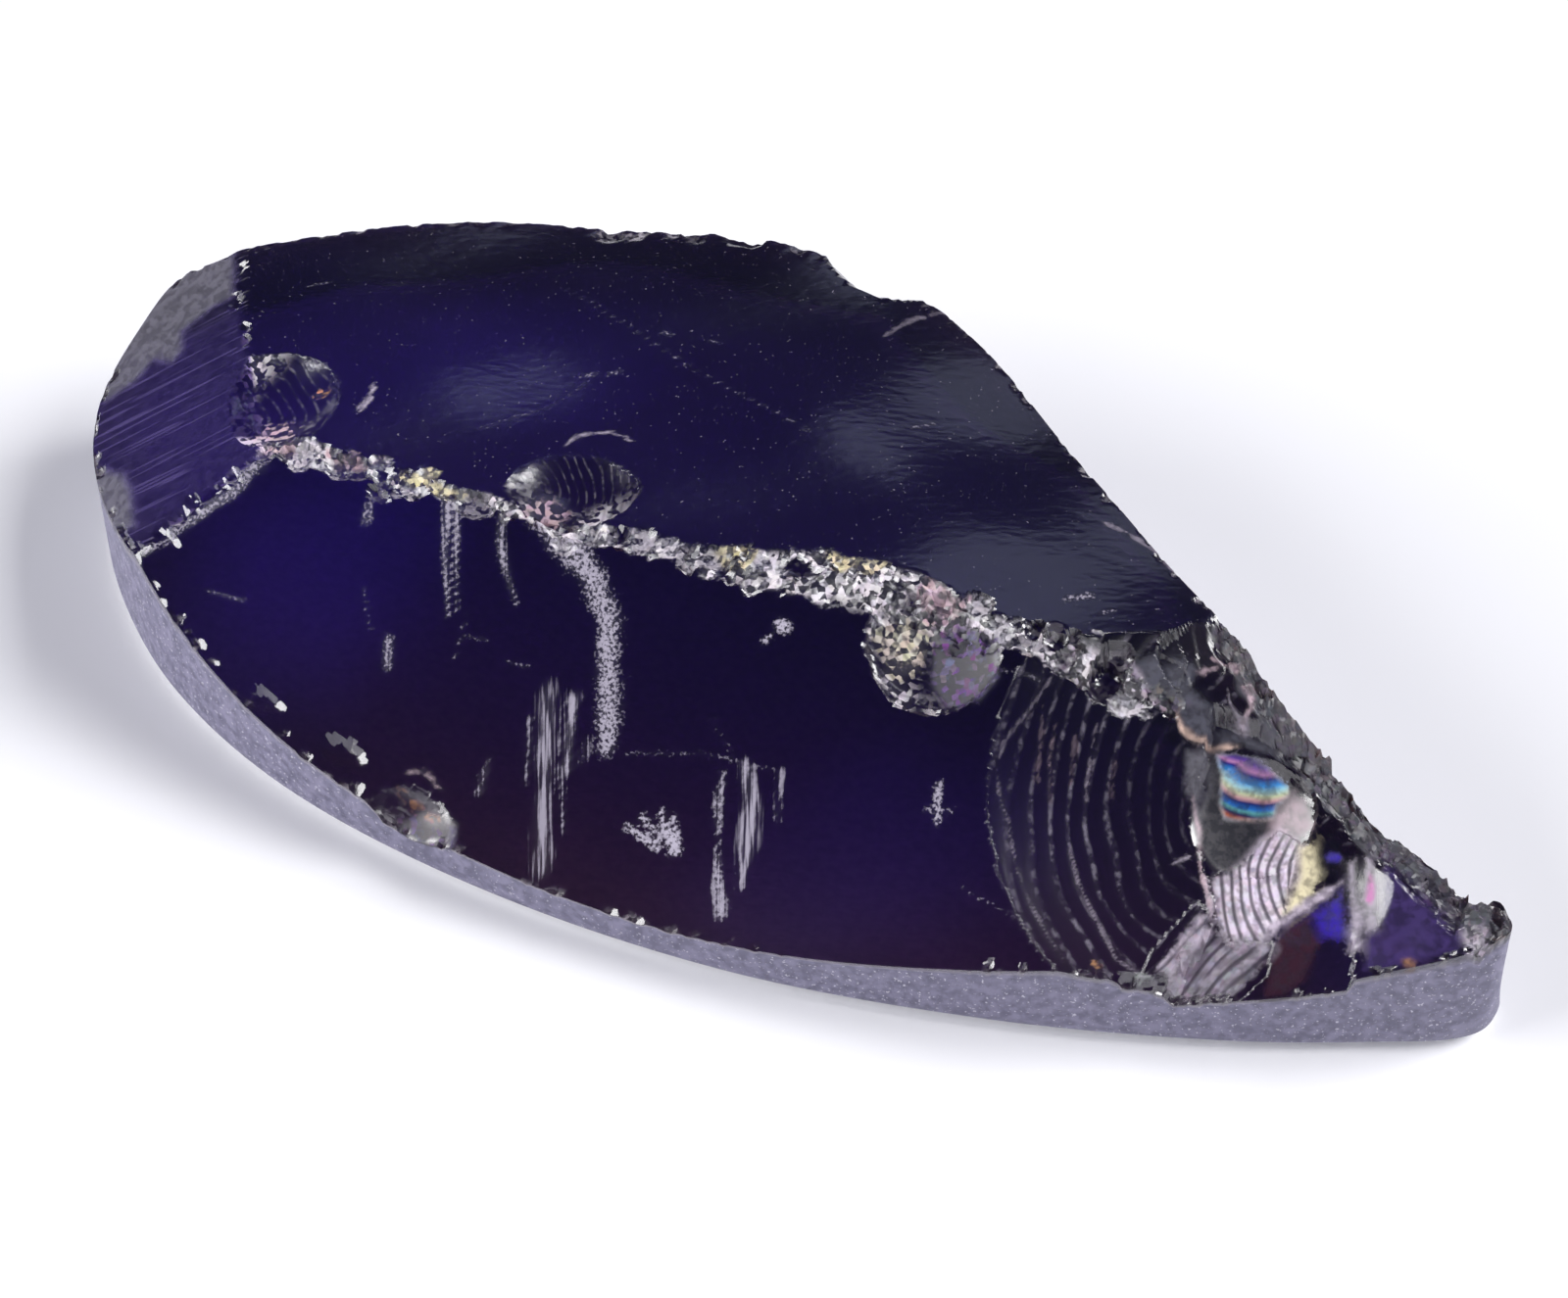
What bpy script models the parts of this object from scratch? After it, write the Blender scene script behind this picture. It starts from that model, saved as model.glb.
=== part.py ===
"""A rough zircon: one broken, partly ground crystal lying on its flat ground base.

Lengths are in millimetres up to the point where a mesh is made. +X runs along the stone to its
blunt tip, -Y faces the ground front skin and +Z is up; the origin lies in the middle of the flat base.
"""

import bmesh
import bpy
import numpy as np
from mathutils import Vector

MM = 0.001

# Plan outline of the ground skin at the base, counterclockwise from the left end:
# x, y, and how far the wall leans in for each millimetre of height.
OUTLINE = (
    (-31.5, 1.2, 0.0), (-31.1, -3.0, 0.0), (-28.2, -7.1, 0.0), (-22.6, -11.0, 0.0),
    (-15.0, -13.35, 0.0), (-5.5, -13.85, 0.0), (4.5, -12.7, 0.0), (14.0, -10.0, 0.0),
    (22.5, -6.5, 0.0), (28.4, -3.3, 0.0), (30.4, -2.0, 0.0), (31.2, -0.8, 0.0),
    (31.1, 0.6, 0.20), (29.6, 1.3, 0.27), (26.6, 1.6, 0.20), (22.6, 3.0, 0.18),
    (18.2, 4.9, 0.16), (15.6, 6.5, 0.16), (10.3, 9.9, 0.16), (4.9, 13.6, 0.16),
    (1.2, 15.7, 0.16), (-0.8, 16.6, 0.16), (-4.0, 17.0, 0.15), (-7.6, 16.5, 0.10),
    (-12.0, 15.3, 0.05), (-18.4, 12.7, 0.02), (-23.8, 8.7, 0.0), (-28.6, 4.4, 0.0),
    (-30.9, 3.3, 0.0),
)
SPAN_STEPS = 4
BLANK_LEVELS = (0.0, 8.0, 14.5)
MOST_LEAN = 2.1
BASE_ROUNDING = 0.9
ROUNDED_OVER = 50  # degrees

# Faces as z = a * x + b * y + c.
BACK_FACE = (0.05, -0.07, 11.4)
FRONT_FACET = (-0.10, 0.84, 13.4)
LEFT_FACET = (0.518, 0.348, 23.1)
END_FACET = (-0.045, 0.75, 9.0)

# Long swells of the back face: height, turns per mm along x and y, and phase.
SWELLS = ((0.22, 0.042, 0.030, 0.10), (0.12, 0.085, -0.055, 0.35), (0.07, 0.030, 0.120, 0.60))
SWELL_CELL = 2.6
# Blocks that the breaks are cut with: length, width and thickness.
SLAB = (90.0, 90.0, 30.0)
SLAB_CENTRE = (0.0, 0.0)
LEFT_SLAB_CENTRE = (-15.0, 0.0)
SWELLING_SLAB = (70.0, 42.0, 8.0)
CUT_TOP = 22.0

# Plan outlines of the parts broken away at the right end.
END_STEP = ((18.2, 0.9), (18.55, -0.6), (19.3, -1.5), (19.35, -2.75), (20.7, -4.1),
            (21.0, -7.5), (22.0, -12.0), (36.0, -12.0), (36.0, 3.0), (23.2, 1.4))
UPPER_STEP = ((15.2, 1.2), (16.9, 0.3), (18.2, -0.3), (20.0, -1.2), (25.0, -0.6), (26.0, 6.0),
              (17.0, 6.0), (16.1, 3.2))
UPPER_STEP_FACE = (-0.16, 0.80, 11.95)
WINDOW_NOTCH = ((21.6, -9.5), (22.3, -5.9), (24.8, -1.6), (25.3, -1.5), (26.6, -4.6), (27.0, -9.5))
WINDOW_FACE = (-0.24, 0.86, 14.07)

FRONT_NORMAL = (0.076, -0.642, 0.764)
END_NORMAL = (0.036, -0.600, 0.800)
UP = (0.0, 0.0, 1.0)

# Turned scoops: foot, axis, rim radius, rise at the rim, rib spacing and rib height.
SCOOPS = {
    "ribbed_scoop": ((20.3, -0.7, 7.75), FRONT_NORMAL, 11.0, 3.1, 0.95, 0.16),
    "lens_hollow": ((20.3, -0.4, 6.7), (0.25, -0.65, 0.72), 2.5, 1.05, 0.0, 0.0),
    "pearly_scoop": ((24.2, -1.85, 5.9), END_NORMAL, 3.2, 0.75, 0.6, 0.08),
    "back_notch": ((-3.6, 16.0, 8.5), (-0.1, 0.5, 0.85), 5.5, 5.0, 1.1, 0.10),
    "ridge_shell": ((7.6, -1.5, 10.35), (0.05, -0.75, 0.66), 2.6, 1.1, 0.55, 0.06),
    "back_shell": ((-8.9, -0.7, 10.4), (0.10, -0.30, 0.95), 2.8, 0.9, 0.6, 0.07),
    "corner_shell": ((-21.4, -2.0, 9.75), (-0.25, -0.20, 0.95), 3.1, 0.95, 0.7, 0.08),
    "border_shell": ((-9.2, -13.3, 2.5), (0.05, -0.78, 0.62), 2.3, 0.95, 0.45, 0.06),
}
SCOOP_TURN_STEPS = 56
SCOOP_PLAIN_RINGS = 6
RIB_SHARE = 0.35
SCOOP_CLEARANCE = 6.0

# Small shell-shaped chips: centre, and the three half axes.
CHIPS = (
    ((-12.7, -13.3, 3.9), (1.2, 0.9, 0.55)), ((-16.6, -13.1, 4.6), (1.4, 0.9, 0.6)),
    ((13.3, 7.2, 11.9), (1.9, 1.1, 0.75)), ((-29.8, -6.0, 6.7), (0.8, 1.1, 0.6)),
    ((-23.2, -9.9, 7.8), (0.9, 0.8, 0.5)), ((-14.2, 14.5, 10.1), (1.5, 0.8, 0.5)),
    ((-10.6, 15.2, 10.2), (1.3, 0.8, 0.5)), ((25.3, 0.8, 8.4), (1.6, 0.9, 0.7)),
    ((28.9, -1.0, 7.4), (1.1, 0.9, 0.7)), ((30.9, -0.4, 0.9), (0.8, 1.5, 1.2)),
    ((16.4, -9.3, 4.7), (1.0, 0.7, 0.5)), ((31.8, 0.5, 8.4), (2.5, 2.3, 2.3)),
)
CHIP_SEGMENTS = 14
CHIP_RINGS = 8

# Broad shallow breaks low on the hidden back wall: centre and radius of the ball that makes each.
BACK_BREAKS = (((9.5, 31.5, 3.5), 20.3), ((23.5, 17.6, 1.0), 14.2), ((-6.5, 34.6, 2.5), 18.2))

# Crushed edges where two faces meet: the faces, the edge's ends in x, and the mean radius and
# lift of the row of bites along it.
CRUSHED_EDGES = {
    "crushed_ridge": (BACK_FACE, FRONT_FACET, -20.2, 16.8, 0.95, 0.50),
    "crushed_left_end": (LEFT_FACET, BACK_FACE, -28.3, -20.4, 0.50, 0.28),
    "crushed_left_border": (LEFT_FACET, FRONT_FACET, -23.8, -20.4, 0.50, 0.24),
}
# The broken strip along the end's back edge, as points of its own.
CRUSHED_STRIP = ((17.6, 3.2, 11.5), (19.9, 2.3, 10.3), (23.5, 0.9, 9.1), (26.4, 0.0, 8.3),
                 (28.7, -0.7, 7.6), (30.6, -1.3, 6.9), (31.8, -1.2, 6.6))
STRIP_RADIUS = 0.80
CRUSH_STEP = 0.9
CRUSH_WANDER = 0.12
CRUSH_SWELL = (0.65, 1.25)
CRUSH_SEED = 7
EDGE_POINTS = 24

STONE_COLOUR = (0.035, 0.015, 0.12, 1.0)
STONE_ROUGHNESS = 0.12
STONE_IOR = 1.95


def clear_scene():
    for obj in list(bpy.data.objects):
        bpy.data.objects.remove(obj, do_unlink=True)
    for collection in list(bpy.data.collections):
        bpy.data.collections.remove(collection)


def new_collection(name):
    collection = bpy.data.collections.new(name)
    bpy.context.scene.collection.children.link(collection)
    return collection


def as_cutter(obj, collection):
    """A helper that shapes the stone and is no part of it."""
    for other in list(obj.users_collection):
        other.objects.unlink(obj)
    collection.objects.link(obj)
    obj.hide_render = True
    obj.display_type = "WIRE"
    return obj


def object_from(bm, name, collection):
    bmesh.ops.recalc_face_normals(bm, faces=bm.faces)
    mesh = bpy.data.meshes.new(name)
    bm.to_mesh(mesh)
    bm.free()
    obj = bpy.data.objects.new(name, mesh)
    collection.objects.link(obj)
    return obj


def smooth_ring(points, steps):
    """A closed curve through the points, each span a cubic led by its neighbours."""
    p = np.array(points, float)
    before, after, beyond = np.roll(p, 1, 0), np.roll(p, -1, 0), np.roll(p, -2, 0)
    t = (np.arange(steps) / steps)[None, :, None]
    line = (after - before)[:, None] * t
    square = (2 * before - 5 * p + 4 * after - beyond)[:, None] * t**2
    cube = (3 * p - before - 3 * after + beyond)[:, None] * t**3
    return (p[:, None] + 0.5 * (line + square + cube)).reshape(-1, p.shape[1])


def even_path(points, step):
    """Points about a step apart along the given ones."""
    p = np.array(points, float)
    at = np.concatenate([[0], np.cumsum(np.linalg.norm(np.diff(p, axis=0), axis=1))])
    wanted = np.linspace(0, at[-1], int(at[-1] / step) + 1)
    return np.stack([np.interp(wanted, at, column) for column in p.T], axis=1)


def height_on(face, x, y):
    return face[0] * x + face[1] * y + face[2]


def swell_at(x, y):
    return sum(h * np.sin(2 * np.pi * (u * x + v * y + p)) for h, u, v, p in SWELLS)


def edge_between(face, other, start, end):
    """Points of the line where two faces meet, with the back face's swell in it."""
    x = np.linspace(start, end, EDGE_POINTS)
    y = np.zeros(EDGE_POINTS)
    for _ in range(4):
        swell = (face == BACK_FACE) * swell_at(x, y) - (other == BACK_FACE) * swell_at(x, y)
        y = ((face[0] - other[0]) * x + face[2] - other[2] + swell) / (other[1] - face[1])
    z = np.minimum(height_on(face, x, y), height_on(other, x, y))
    return np.column_stack([x, y, z])


def normal_of(face):
    return Vector((-face[0], -face[1], 1.0)).normalized()


def ring_in(bm, points, capped=True):
    """The edges of a closed ring through the points, filled where it ends a solid."""
    verts = [bm.verts.new(Vector(point) * MM) for point in points]
    edges = [bm.edges.new((a, b)) for a, b in zip(verts, verts[1:] + verts[:1])]
    if capped:
        bmesh.ops.contextual_create(bm, geom=verts)
    return edges


def make_blank(collection):
    """The ground stone before its breaks: a loft from the base outline up to the leaning rings."""
    ring = smooth_ring(OUTLINE, SPAN_STEPS)
    along = np.roll(ring, -1, 0)[:, :2] - np.roll(ring, 1, 0)[:, :2]
    inward = np.stack([-along[:, 1], along[:, 0]], axis=1)
    inward /= np.linalg.norm(inward, axis=1, keepdims=True)
    bm = bmesh.new()
    rings = []
    for level in BLANK_LEVELS:
        plan = ring[:, :2] + inward * np.minimum(ring[:, 2:] * level, MOST_LEAN)
        points = np.column_stack([plan, np.full(len(ring), level)])
        rings.append(ring_in(bm, points, capped=level in (BLANK_LEVELS[0], BLANK_LEVELS[-1])))
    for lower, upper in zip(rings, rings[1:]):
        bmesh.ops.bridge_loops(bm, edges=lower + upper)
    stone = object_from(bm, "stone", collection)
    rounding = stone.modifiers.new("ground_base_edge", "BEVEL")
    rounding.width = BASE_ROUNDING * MM
    rounding.segments = 3
    rounding.limit_method = "ANGLE"
    rounding.angle_limit = np.radians(ROUNDED_OVER)
    return stone


def make_slab(name, face, collection):
    """A thick block that lies on a slanted face and takes away all above it."""
    bm = bmesh.new()
    bmesh.ops.create_cube(bm, size=1.0)
    bmesh.ops.scale(bm, vec=Vector(SLAB) * MM, verts=bm.verts)
    bmesh.ops.translate(bm, vec=(0, 0, 0.5 * SLAB[2] * MM), verts=bm.verts)
    slab = object_from(bm, name, collection)
    slab.rotation_mode = "QUATERNION"
    slab.rotation_quaternion = Vector(UP).rotation_difference(normal_of(face))
    centre = LEFT_SLAB_CENTRE if face == LEFT_FACET else SLAB_CENTRE
    slab.location = Vector((*centre, height_on(face, *centre))) * MM
    return as_cutter(slab, collection)


def make_swelling_slab(collection):
    """The block above the back face, its underside a sheet of slow waves."""
    length, width, thickness = SWELLING_SLAB
    bm = bmesh.new()
    columns, rows = int(length / SWELL_CELL), int(width / SWELL_CELL)
    bmesh.ops.create_grid(bm, x_segments=columns, y_segments=rows, size=0.5)
    for vert in bm.verts:
        x, y = vert.co.x * length, vert.co.y * width
        vert.co = Vector((x, y, height_on(BACK_FACE, x, y) + swell_at(x, y))) * MM
    raised = bmesh.ops.extrude_face_region(bm, geom=bm.faces[:])["geom"]
    lifted = [item for item in raised if isinstance(item, bmesh.types.BMVert)]
    bmesh.ops.translate(bm, vec=(0, 0, thickness * MM), verts=lifted)
    return as_cutter(object_from(bm, "back_face", collection), collection)


def make_step(name, outline, face, collection):
    """A block over a plan outline, cut off below by a slanted face."""
    low = [(x, y, height_on(face, x, y)) for x, y in outline]
    bm = bmesh.new()
    edges = ring_in(bm, low) + ring_in(bm, [(x, y, CUT_TOP) for x, y in outline])
    bmesh.ops.bridge_loops(bm, edges=edges)
    return as_cutter(object_from(bm, name, collection), collection)


def scoop_profile(rim, rise, spacing, height):
    """Radius and height from the top of the outer side down to the foot: a parabola with ribs."""
    radii = np.linspace(rim, 0, SCOOP_PLAIN_RINGS + 1)
    if spacing:
        crests = np.arange(spacing, rim, spacing)
        radii = np.sort(np.concatenate([crests, crests + RIB_SHARE * spacing, [0, rim]]))[::-1]
        radii = radii[radii <= rim]
    heights = rise * (radii / rim) ** 2
    if spacing:
        on_crest = np.isclose(radii / spacing, np.round(radii / spacing)) & (radii > 0)
        heights = heights - height * on_crest
    above = rise + SCOOP_CLEARANCE
    return [(0, above), (rim, above)] + list(zip(radii, heights))


def make_scoop(name, foot, axis, rim, rise, spacing, height, collection):
    """A turned bowl with concentric ribs, as a shell-like break leaves it."""
    bm = bmesh.new()
    profile = scoop_profile(rim, rise, spacing, height)
    verts = [bm.verts.new((r * MM, 0, z * MM)) for r, z in profile]
    for a, b in zip(verts, verts[1:]):
        bm.edges.new((a, b))
    scoop = object_from(bm, name, collection)
    turn = scoop.modifiers.new("turn", "SCREW")
    turn.steps = turn.render_steps = SCOOP_TURN_STEPS if spacing else SCOOP_TURN_STEPS // 2
    turn.use_merge_vertices = True
    turn.merge_threshold = 1e-6
    scoop.rotation_mode = "QUATERNION"
    scoop.rotation_quaternion = Vector(UP).rotation_difference(Vector(axis).normalized())
    scoop.location = Vector(foot) * MM
    return as_cutter(scoop, collection)


def make_ball(name, centre, half_axes, collection, finer=1):
    bm = bmesh.new()
    segments, rings = CHIP_SEGMENTS * finer, CHIP_RINGS * finer
    bmesh.ops.create_uvsphere(bm, u_segments=segments, v_segments=rings, radius=MM)
    bmesh.ops.scale(bm, vec=half_axes, verts=bm.verts)
    bmesh.ops.translate(bm, vec=Vector(centre) * MM, verts=bm.verts)
    return as_cutter(object_from(bm, name, collection), collection)


def make_crush(name, edge, radius, lift, rng, collection):
    """A row of irregular bites along an edge: a tube whose radius and route wander."""
    route = even_path(edge, CRUSH_STEP)
    route += rng.normal(0, CRUSH_WANDER, route.shape)
    route[:, 2] += lift
    curve = bpy.data.curves.new(name, "CURVE")
    curve.dimensions = "3D"
    curve.bevel_depth = radius * MM
    curve.bevel_resolution = 1
    curve.use_fill_caps = True
    spline = curve.splines.new("POLY")
    spline.points.add(len(route) - 1)
    swells = rng.uniform(*CRUSH_SWELL, len(route))
    for point, place, swell in zip(spline.points, route, swells):
        point.co = (*(place * MM), 1)
        point.radius = swell
    tube = bpy.data.objects.new(name + "_curve", curve)
    collection.objects.link(tube)
    bpy.context.view_layer.update()
    graph = bpy.context.evaluated_depsgraph_get()
    mesh = bpy.data.meshes.new_from_object(tube.evaluated_get(graph))
    bm = bmesh.new()
    bm.from_mesh(mesh)
    bmesh.ops.remove_doubles(bm, verts=bm.verts, dist=1e-6)
    crush = object_from(bm, name, collection)
    crush.matrix_world = tube.matrix_world
    bpy.data.objects.remove(tube)
    return as_cutter(crush, collection)


def stone_material():
    """Deep violet crystal, clear and glossy."""
    material = bpy.data.materials.new("violet_crystal")
    material.use_nodes = True
    shader = material.node_tree.nodes["Principled BSDF"]
    shader.inputs["Base Color"].default_value = STONE_COLOUR
    shader.inputs["Roughness"].default_value = STONE_ROUGHNESS
    shader.inputs["Metallic"].default_value = 0.0
    shader.inputs["IOR"].default_value = STONE_IOR
    return material


def make_cutters(cutters):
    """Every break and facet, in the order in which it is taken from the blank."""
    rng = np.random.default_rng(CRUSH_SEED)
    found = [
        make_swelling_slab(cutters),
        make_slab("front_facet", FRONT_FACET, cutters),
        make_slab("left_facet", LEFT_FACET, cutters),
        make_step("end_step", END_STEP, END_FACET, cutters),
        make_step("upper_step", UPPER_STEP, UPPER_STEP_FACE, cutters),
        make_step("window_notch", WINDOW_NOTCH, WINDOW_FACE, cutters),
    ]
    found += [make_scoop(name, *sizes, cutters) for name, sizes in SCOOPS.items()]
    for number, (centre, radius) in enumerate(BACK_BREAKS):
        found.append(make_ball(f"back_break_{number}", centre, (radius,) * 3, cutters, finer=3))
    for number, (centre, half_axes) in enumerate(CHIPS):
        found.append(make_ball(f"chip_{number}", centre, half_axes, cutters))
    for name, (face, other, start, end, radius, lift) in CRUSHED_EDGES.items():
        edge = edge_between(face, other, start, end)
        found.append(make_crush(name, edge, radius, lift, rng, cutters))
    found.append(make_crush("crushed_strip", CRUSHED_STRIP, STRIP_RADIUS, 0.0, rng, cutters))
    return found


def main():
    clear_scene()
    stone_parts = new_collection("rough_zircon")
    cutters = new_collection("cutters")
    stone = make_blank(stone_parts)
    for cutter in make_cutters(cutters):
        cut = stone.modifiers.new(cutter.name, "BOOLEAN")
        cut.operation = "DIFFERENCE"
        cut.solver = "EXACT"
        cut.object = cutter
    stone.data.materials.append(stone_material())


main()
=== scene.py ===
"""Looks of the rough zircon: its broken, cut and ground surface, and the studio it is shown in.

Lengths are in millimetres up to the point where a mesh is made. +X runs along the stone to its
blunt tip, -Y faces the ground front skin and +Z is up from the flat base.
"""

import bpy
import numpy as np
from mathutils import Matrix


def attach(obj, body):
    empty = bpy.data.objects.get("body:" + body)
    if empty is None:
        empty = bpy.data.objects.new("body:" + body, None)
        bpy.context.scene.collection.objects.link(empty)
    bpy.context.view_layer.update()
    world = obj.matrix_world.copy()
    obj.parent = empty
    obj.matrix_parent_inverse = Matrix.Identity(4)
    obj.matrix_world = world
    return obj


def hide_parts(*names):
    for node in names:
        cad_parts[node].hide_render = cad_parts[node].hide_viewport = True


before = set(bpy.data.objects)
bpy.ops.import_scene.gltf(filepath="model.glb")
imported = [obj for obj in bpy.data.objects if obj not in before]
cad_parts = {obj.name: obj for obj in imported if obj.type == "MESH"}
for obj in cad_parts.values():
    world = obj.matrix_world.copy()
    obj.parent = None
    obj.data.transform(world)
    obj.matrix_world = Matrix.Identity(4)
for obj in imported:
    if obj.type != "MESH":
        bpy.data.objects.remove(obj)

bl_info = {
    "name": "Rough Zircon",
    "version": (1, 0, 0),
    "blender": (4, 5, 0),
    "location": "View3D > Sidebar > Rough Zircon",
    "description": "Adds a rough zircon crystal and a studio to show it in",
    "category": "Add Mesh",
}

MM = 0.001
FLOOR_GAP = 0.0001

# Plan outline of the base, counterclockwise from the left end: x, y, lean-in of the wall per mm.
OUTLINE = (
    (-31.5, 1.2, 0.0), (-31.1, -3.0, 0.0), (-28.2, -7.1, 0.0), (-22.6, -11.0, 0.0),
    (-15.0, -13.35, 0.0), (-5.5, -13.85, 0.0), (4.5, -12.7, 0.0), (14.0, -10.0, 0.0),
    (22.5, -6.5, 0.0), (28.4, -3.3, 0.0), (30.4, -2.0, 0.0), (31.2, -0.8, 0.0),
    (31.1, 0.6, 0.20), (29.6, 1.3, 0.27), (26.6, 1.6, 0.20), (22.6, 3.0, 0.18),
    (18.2, 4.9, 0.16), (15.6, 6.5, 0.16), (10.3, 9.9, 0.16), (4.9, 13.6, 0.16),
    (1.2, 15.7, 0.16), (-0.8, 16.6, 0.16), (-4.0, 17.0, 0.15), (-7.6, 16.5, 0.10),
    (-12.0, 15.3, 0.05), (-18.4, 12.7, 0.02), (-23.8, 8.7, 0.0), (-28.6, 4.4, 0.0),
    (-30.9, 3.3, 0.0),
)
# Which outline point is the tip, points per span, most lean-in, and rounding at the foot.
TIP = 11
SPAN_STEPS = 24
MOST_LEAN = 2.1
BASE_ROUNDING = 0.9

# Faces as z = a * x + b * y + c.
BACK_FACE = (0.05, -0.07, 11.4)
FRONT_FACET = (-0.10, 0.84, 13.4)
LEFT_FACET = (0.518, 0.348, 23.1)
END_FACET = (-0.045, 0.75, 9.0)
UPPER_STEP_FACE = (-0.16, 0.80, 11.95)
WINDOW_FACE = (-0.24, 0.86, 14.07)
# Waves of the back face: height, waves per mm along x and along y, phase.
SWELLS = ((0.22, 0.042, 0.030, 0.10), (0.12, 0.085, -0.055, 0.81), (0.07, 0.030, 0.120, 0.585))

# Plan outlines of the parts broken away at the right end.
END_STEP = ((18.2, 0.9), (18.55, -0.6), (19.3, -1.5), (19.35, -2.75), (20.7, -4.1),
            (21.0, -7.5), (22.0, -12.0), (36.0, -12.0), (36.0, 3.0), (23.2, 1.4))
UPPER_STEP = ((15.2, 1.2), (16.9, 0.3), (18.2, -0.3), (20.0, -1.2), (25.0, -0.6), (26.0, 6.0),
              (17.0, 6.0), (16.1, 3.2))
WINDOW_NOTCH = ((21.6, -9.5), (22.3, -5.9), (24.8, -1.6), (25.3, -1.5), (26.6, -4.6), (27.0, -9.5))
STEP_WALL = 5.0

FRONT_NORMAL = (0.076, -0.642, 0.764)
END_NORMAL = (0.036, -0.600, 0.800)

# Turned scoops: foot, axis, rim radius, rise at the rim, rib spacing, rib height, and the plan
# point that the ribs spread from.
SCOOPS = {
    "ribbed_scoop": ((20.3, -0.7, 7.75), FRONT_NORMAL, 11.0, 3.1, 0.75, 0.020, (20.3, -0.9)),
    "lens_hollow": ((20.3, -0.4, 6.7), (0.25, -0.65, 0.72), 2.5, 1.05, 0.0, 0.0, (0, 0)),
    "pearly_scoop": ((24.2, -1.85, 5.9), END_NORMAL, 3.2, 0.75, 0.36, 0.018, (24.6, -1.2)),
    "back_notch": ((-3.6, 16.0, 8.5), (-0.1, 0.5, 0.85), 5.5, 5.0, 1.1, 0.04, (-3.6, 18.0)),
    "ridge_shell": ((7.6, -1.5, 10.35), (0.05, -0.72, 0.69), 2.6, 0.60, 0.34, 0.012, (7.2, 0.2)),
    "back_shell": ((-8.9, -0.7, 10.4), (0.10, -0.30, 0.95), 2.8, 0.9, 0.38, 0.022, (-10.6, -2.4)),
    "corner_shell": ((-21.4, -2.0, 9.75), (-0.25, -0.20, 0.95), 3.1, 0.95, 0.52, 0.018,
                     (-23.4, -4.4)),
    "border_shell": ((-9.2, -13.3, 2.5), (0.05, -0.78, 0.62), 2.3, 0.75, 0.35, 0.018,
                     (-9.4, -14.6)),
}
MOST_RIBS = 32.0
SCOOP_TURNS = 40

# Shell-shaped chips: centre and half axes.
CHIPS = (
    ((-12.7, -13.3, 3.9), (1.2, 0.9, 0.32)), ((-16.6, -13.1, 4.6), (1.4, 0.9, 0.34)),
    ((13.3, 7.2, 11.9), (1.9, 1.1, 0.75)), ((-29.8, -6.0, 6.7), (0.8, 1.1, 0.6)),
    ((-23.2, -9.9, 7.8), (0.9, 0.8, 0.30)), ((-14.2, 14.5, 10.1), (1.5, 0.8, 0.5)),
    ((-10.6, 15.2, 10.2), (1.3, 0.8, 0.5)), ((25.3, 0.8, 8.4), (1.6, 0.9, 0.7)),
    ((28.9, -1.0, 7.4), (1.1, 0.9, 0.7)), ((16.4, -9.3, 4.7), (1.0, 0.7, 0.32)),
    ((31.8, 0.5, 8.4), (2.5, 2.3, 2.3)),
)
BACK_BREAKS = (((9.5, 31.5, 3.5), 20.3), ((23.5, 17.6, 1.0), 14.2), ((-6.5, 34.6, 2.5), 18.2))

# Plan paths: the strip of rubble at the right end, the line from end to end that the grid
# is laid along, and edges with rows of chips.
STRIP = ((17.6, 3.2), (19.9, 2.3), (23.5, 0.9), (26.4, 0.0), (28.7, -0.7), (30.6, -1.3))
SPINE = ((-31.5, 1.2), (-28.0, -0.8), (-24.0, -3.2), (-20.2, -5.4), (16.8, 0.57),
         (20.0, 0.2), (24.0, -0.9), (28.0, -1.5), (31.2, -0.8))
LEFT_BACK_EDGE = ((-28.6, 4.0), (-26.4, 0.9), (-23.6, -2.2), (-20.4, -5.4))
TOP_BREAKS = ((-16.5, 12.8), (-14.6, 13.7), (-12.0, 14.8))
LEFT_FRONT_EDGE = ((-24.2, -9.9), (-22.2, -7.6), (-20.4, -5.5))

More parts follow.
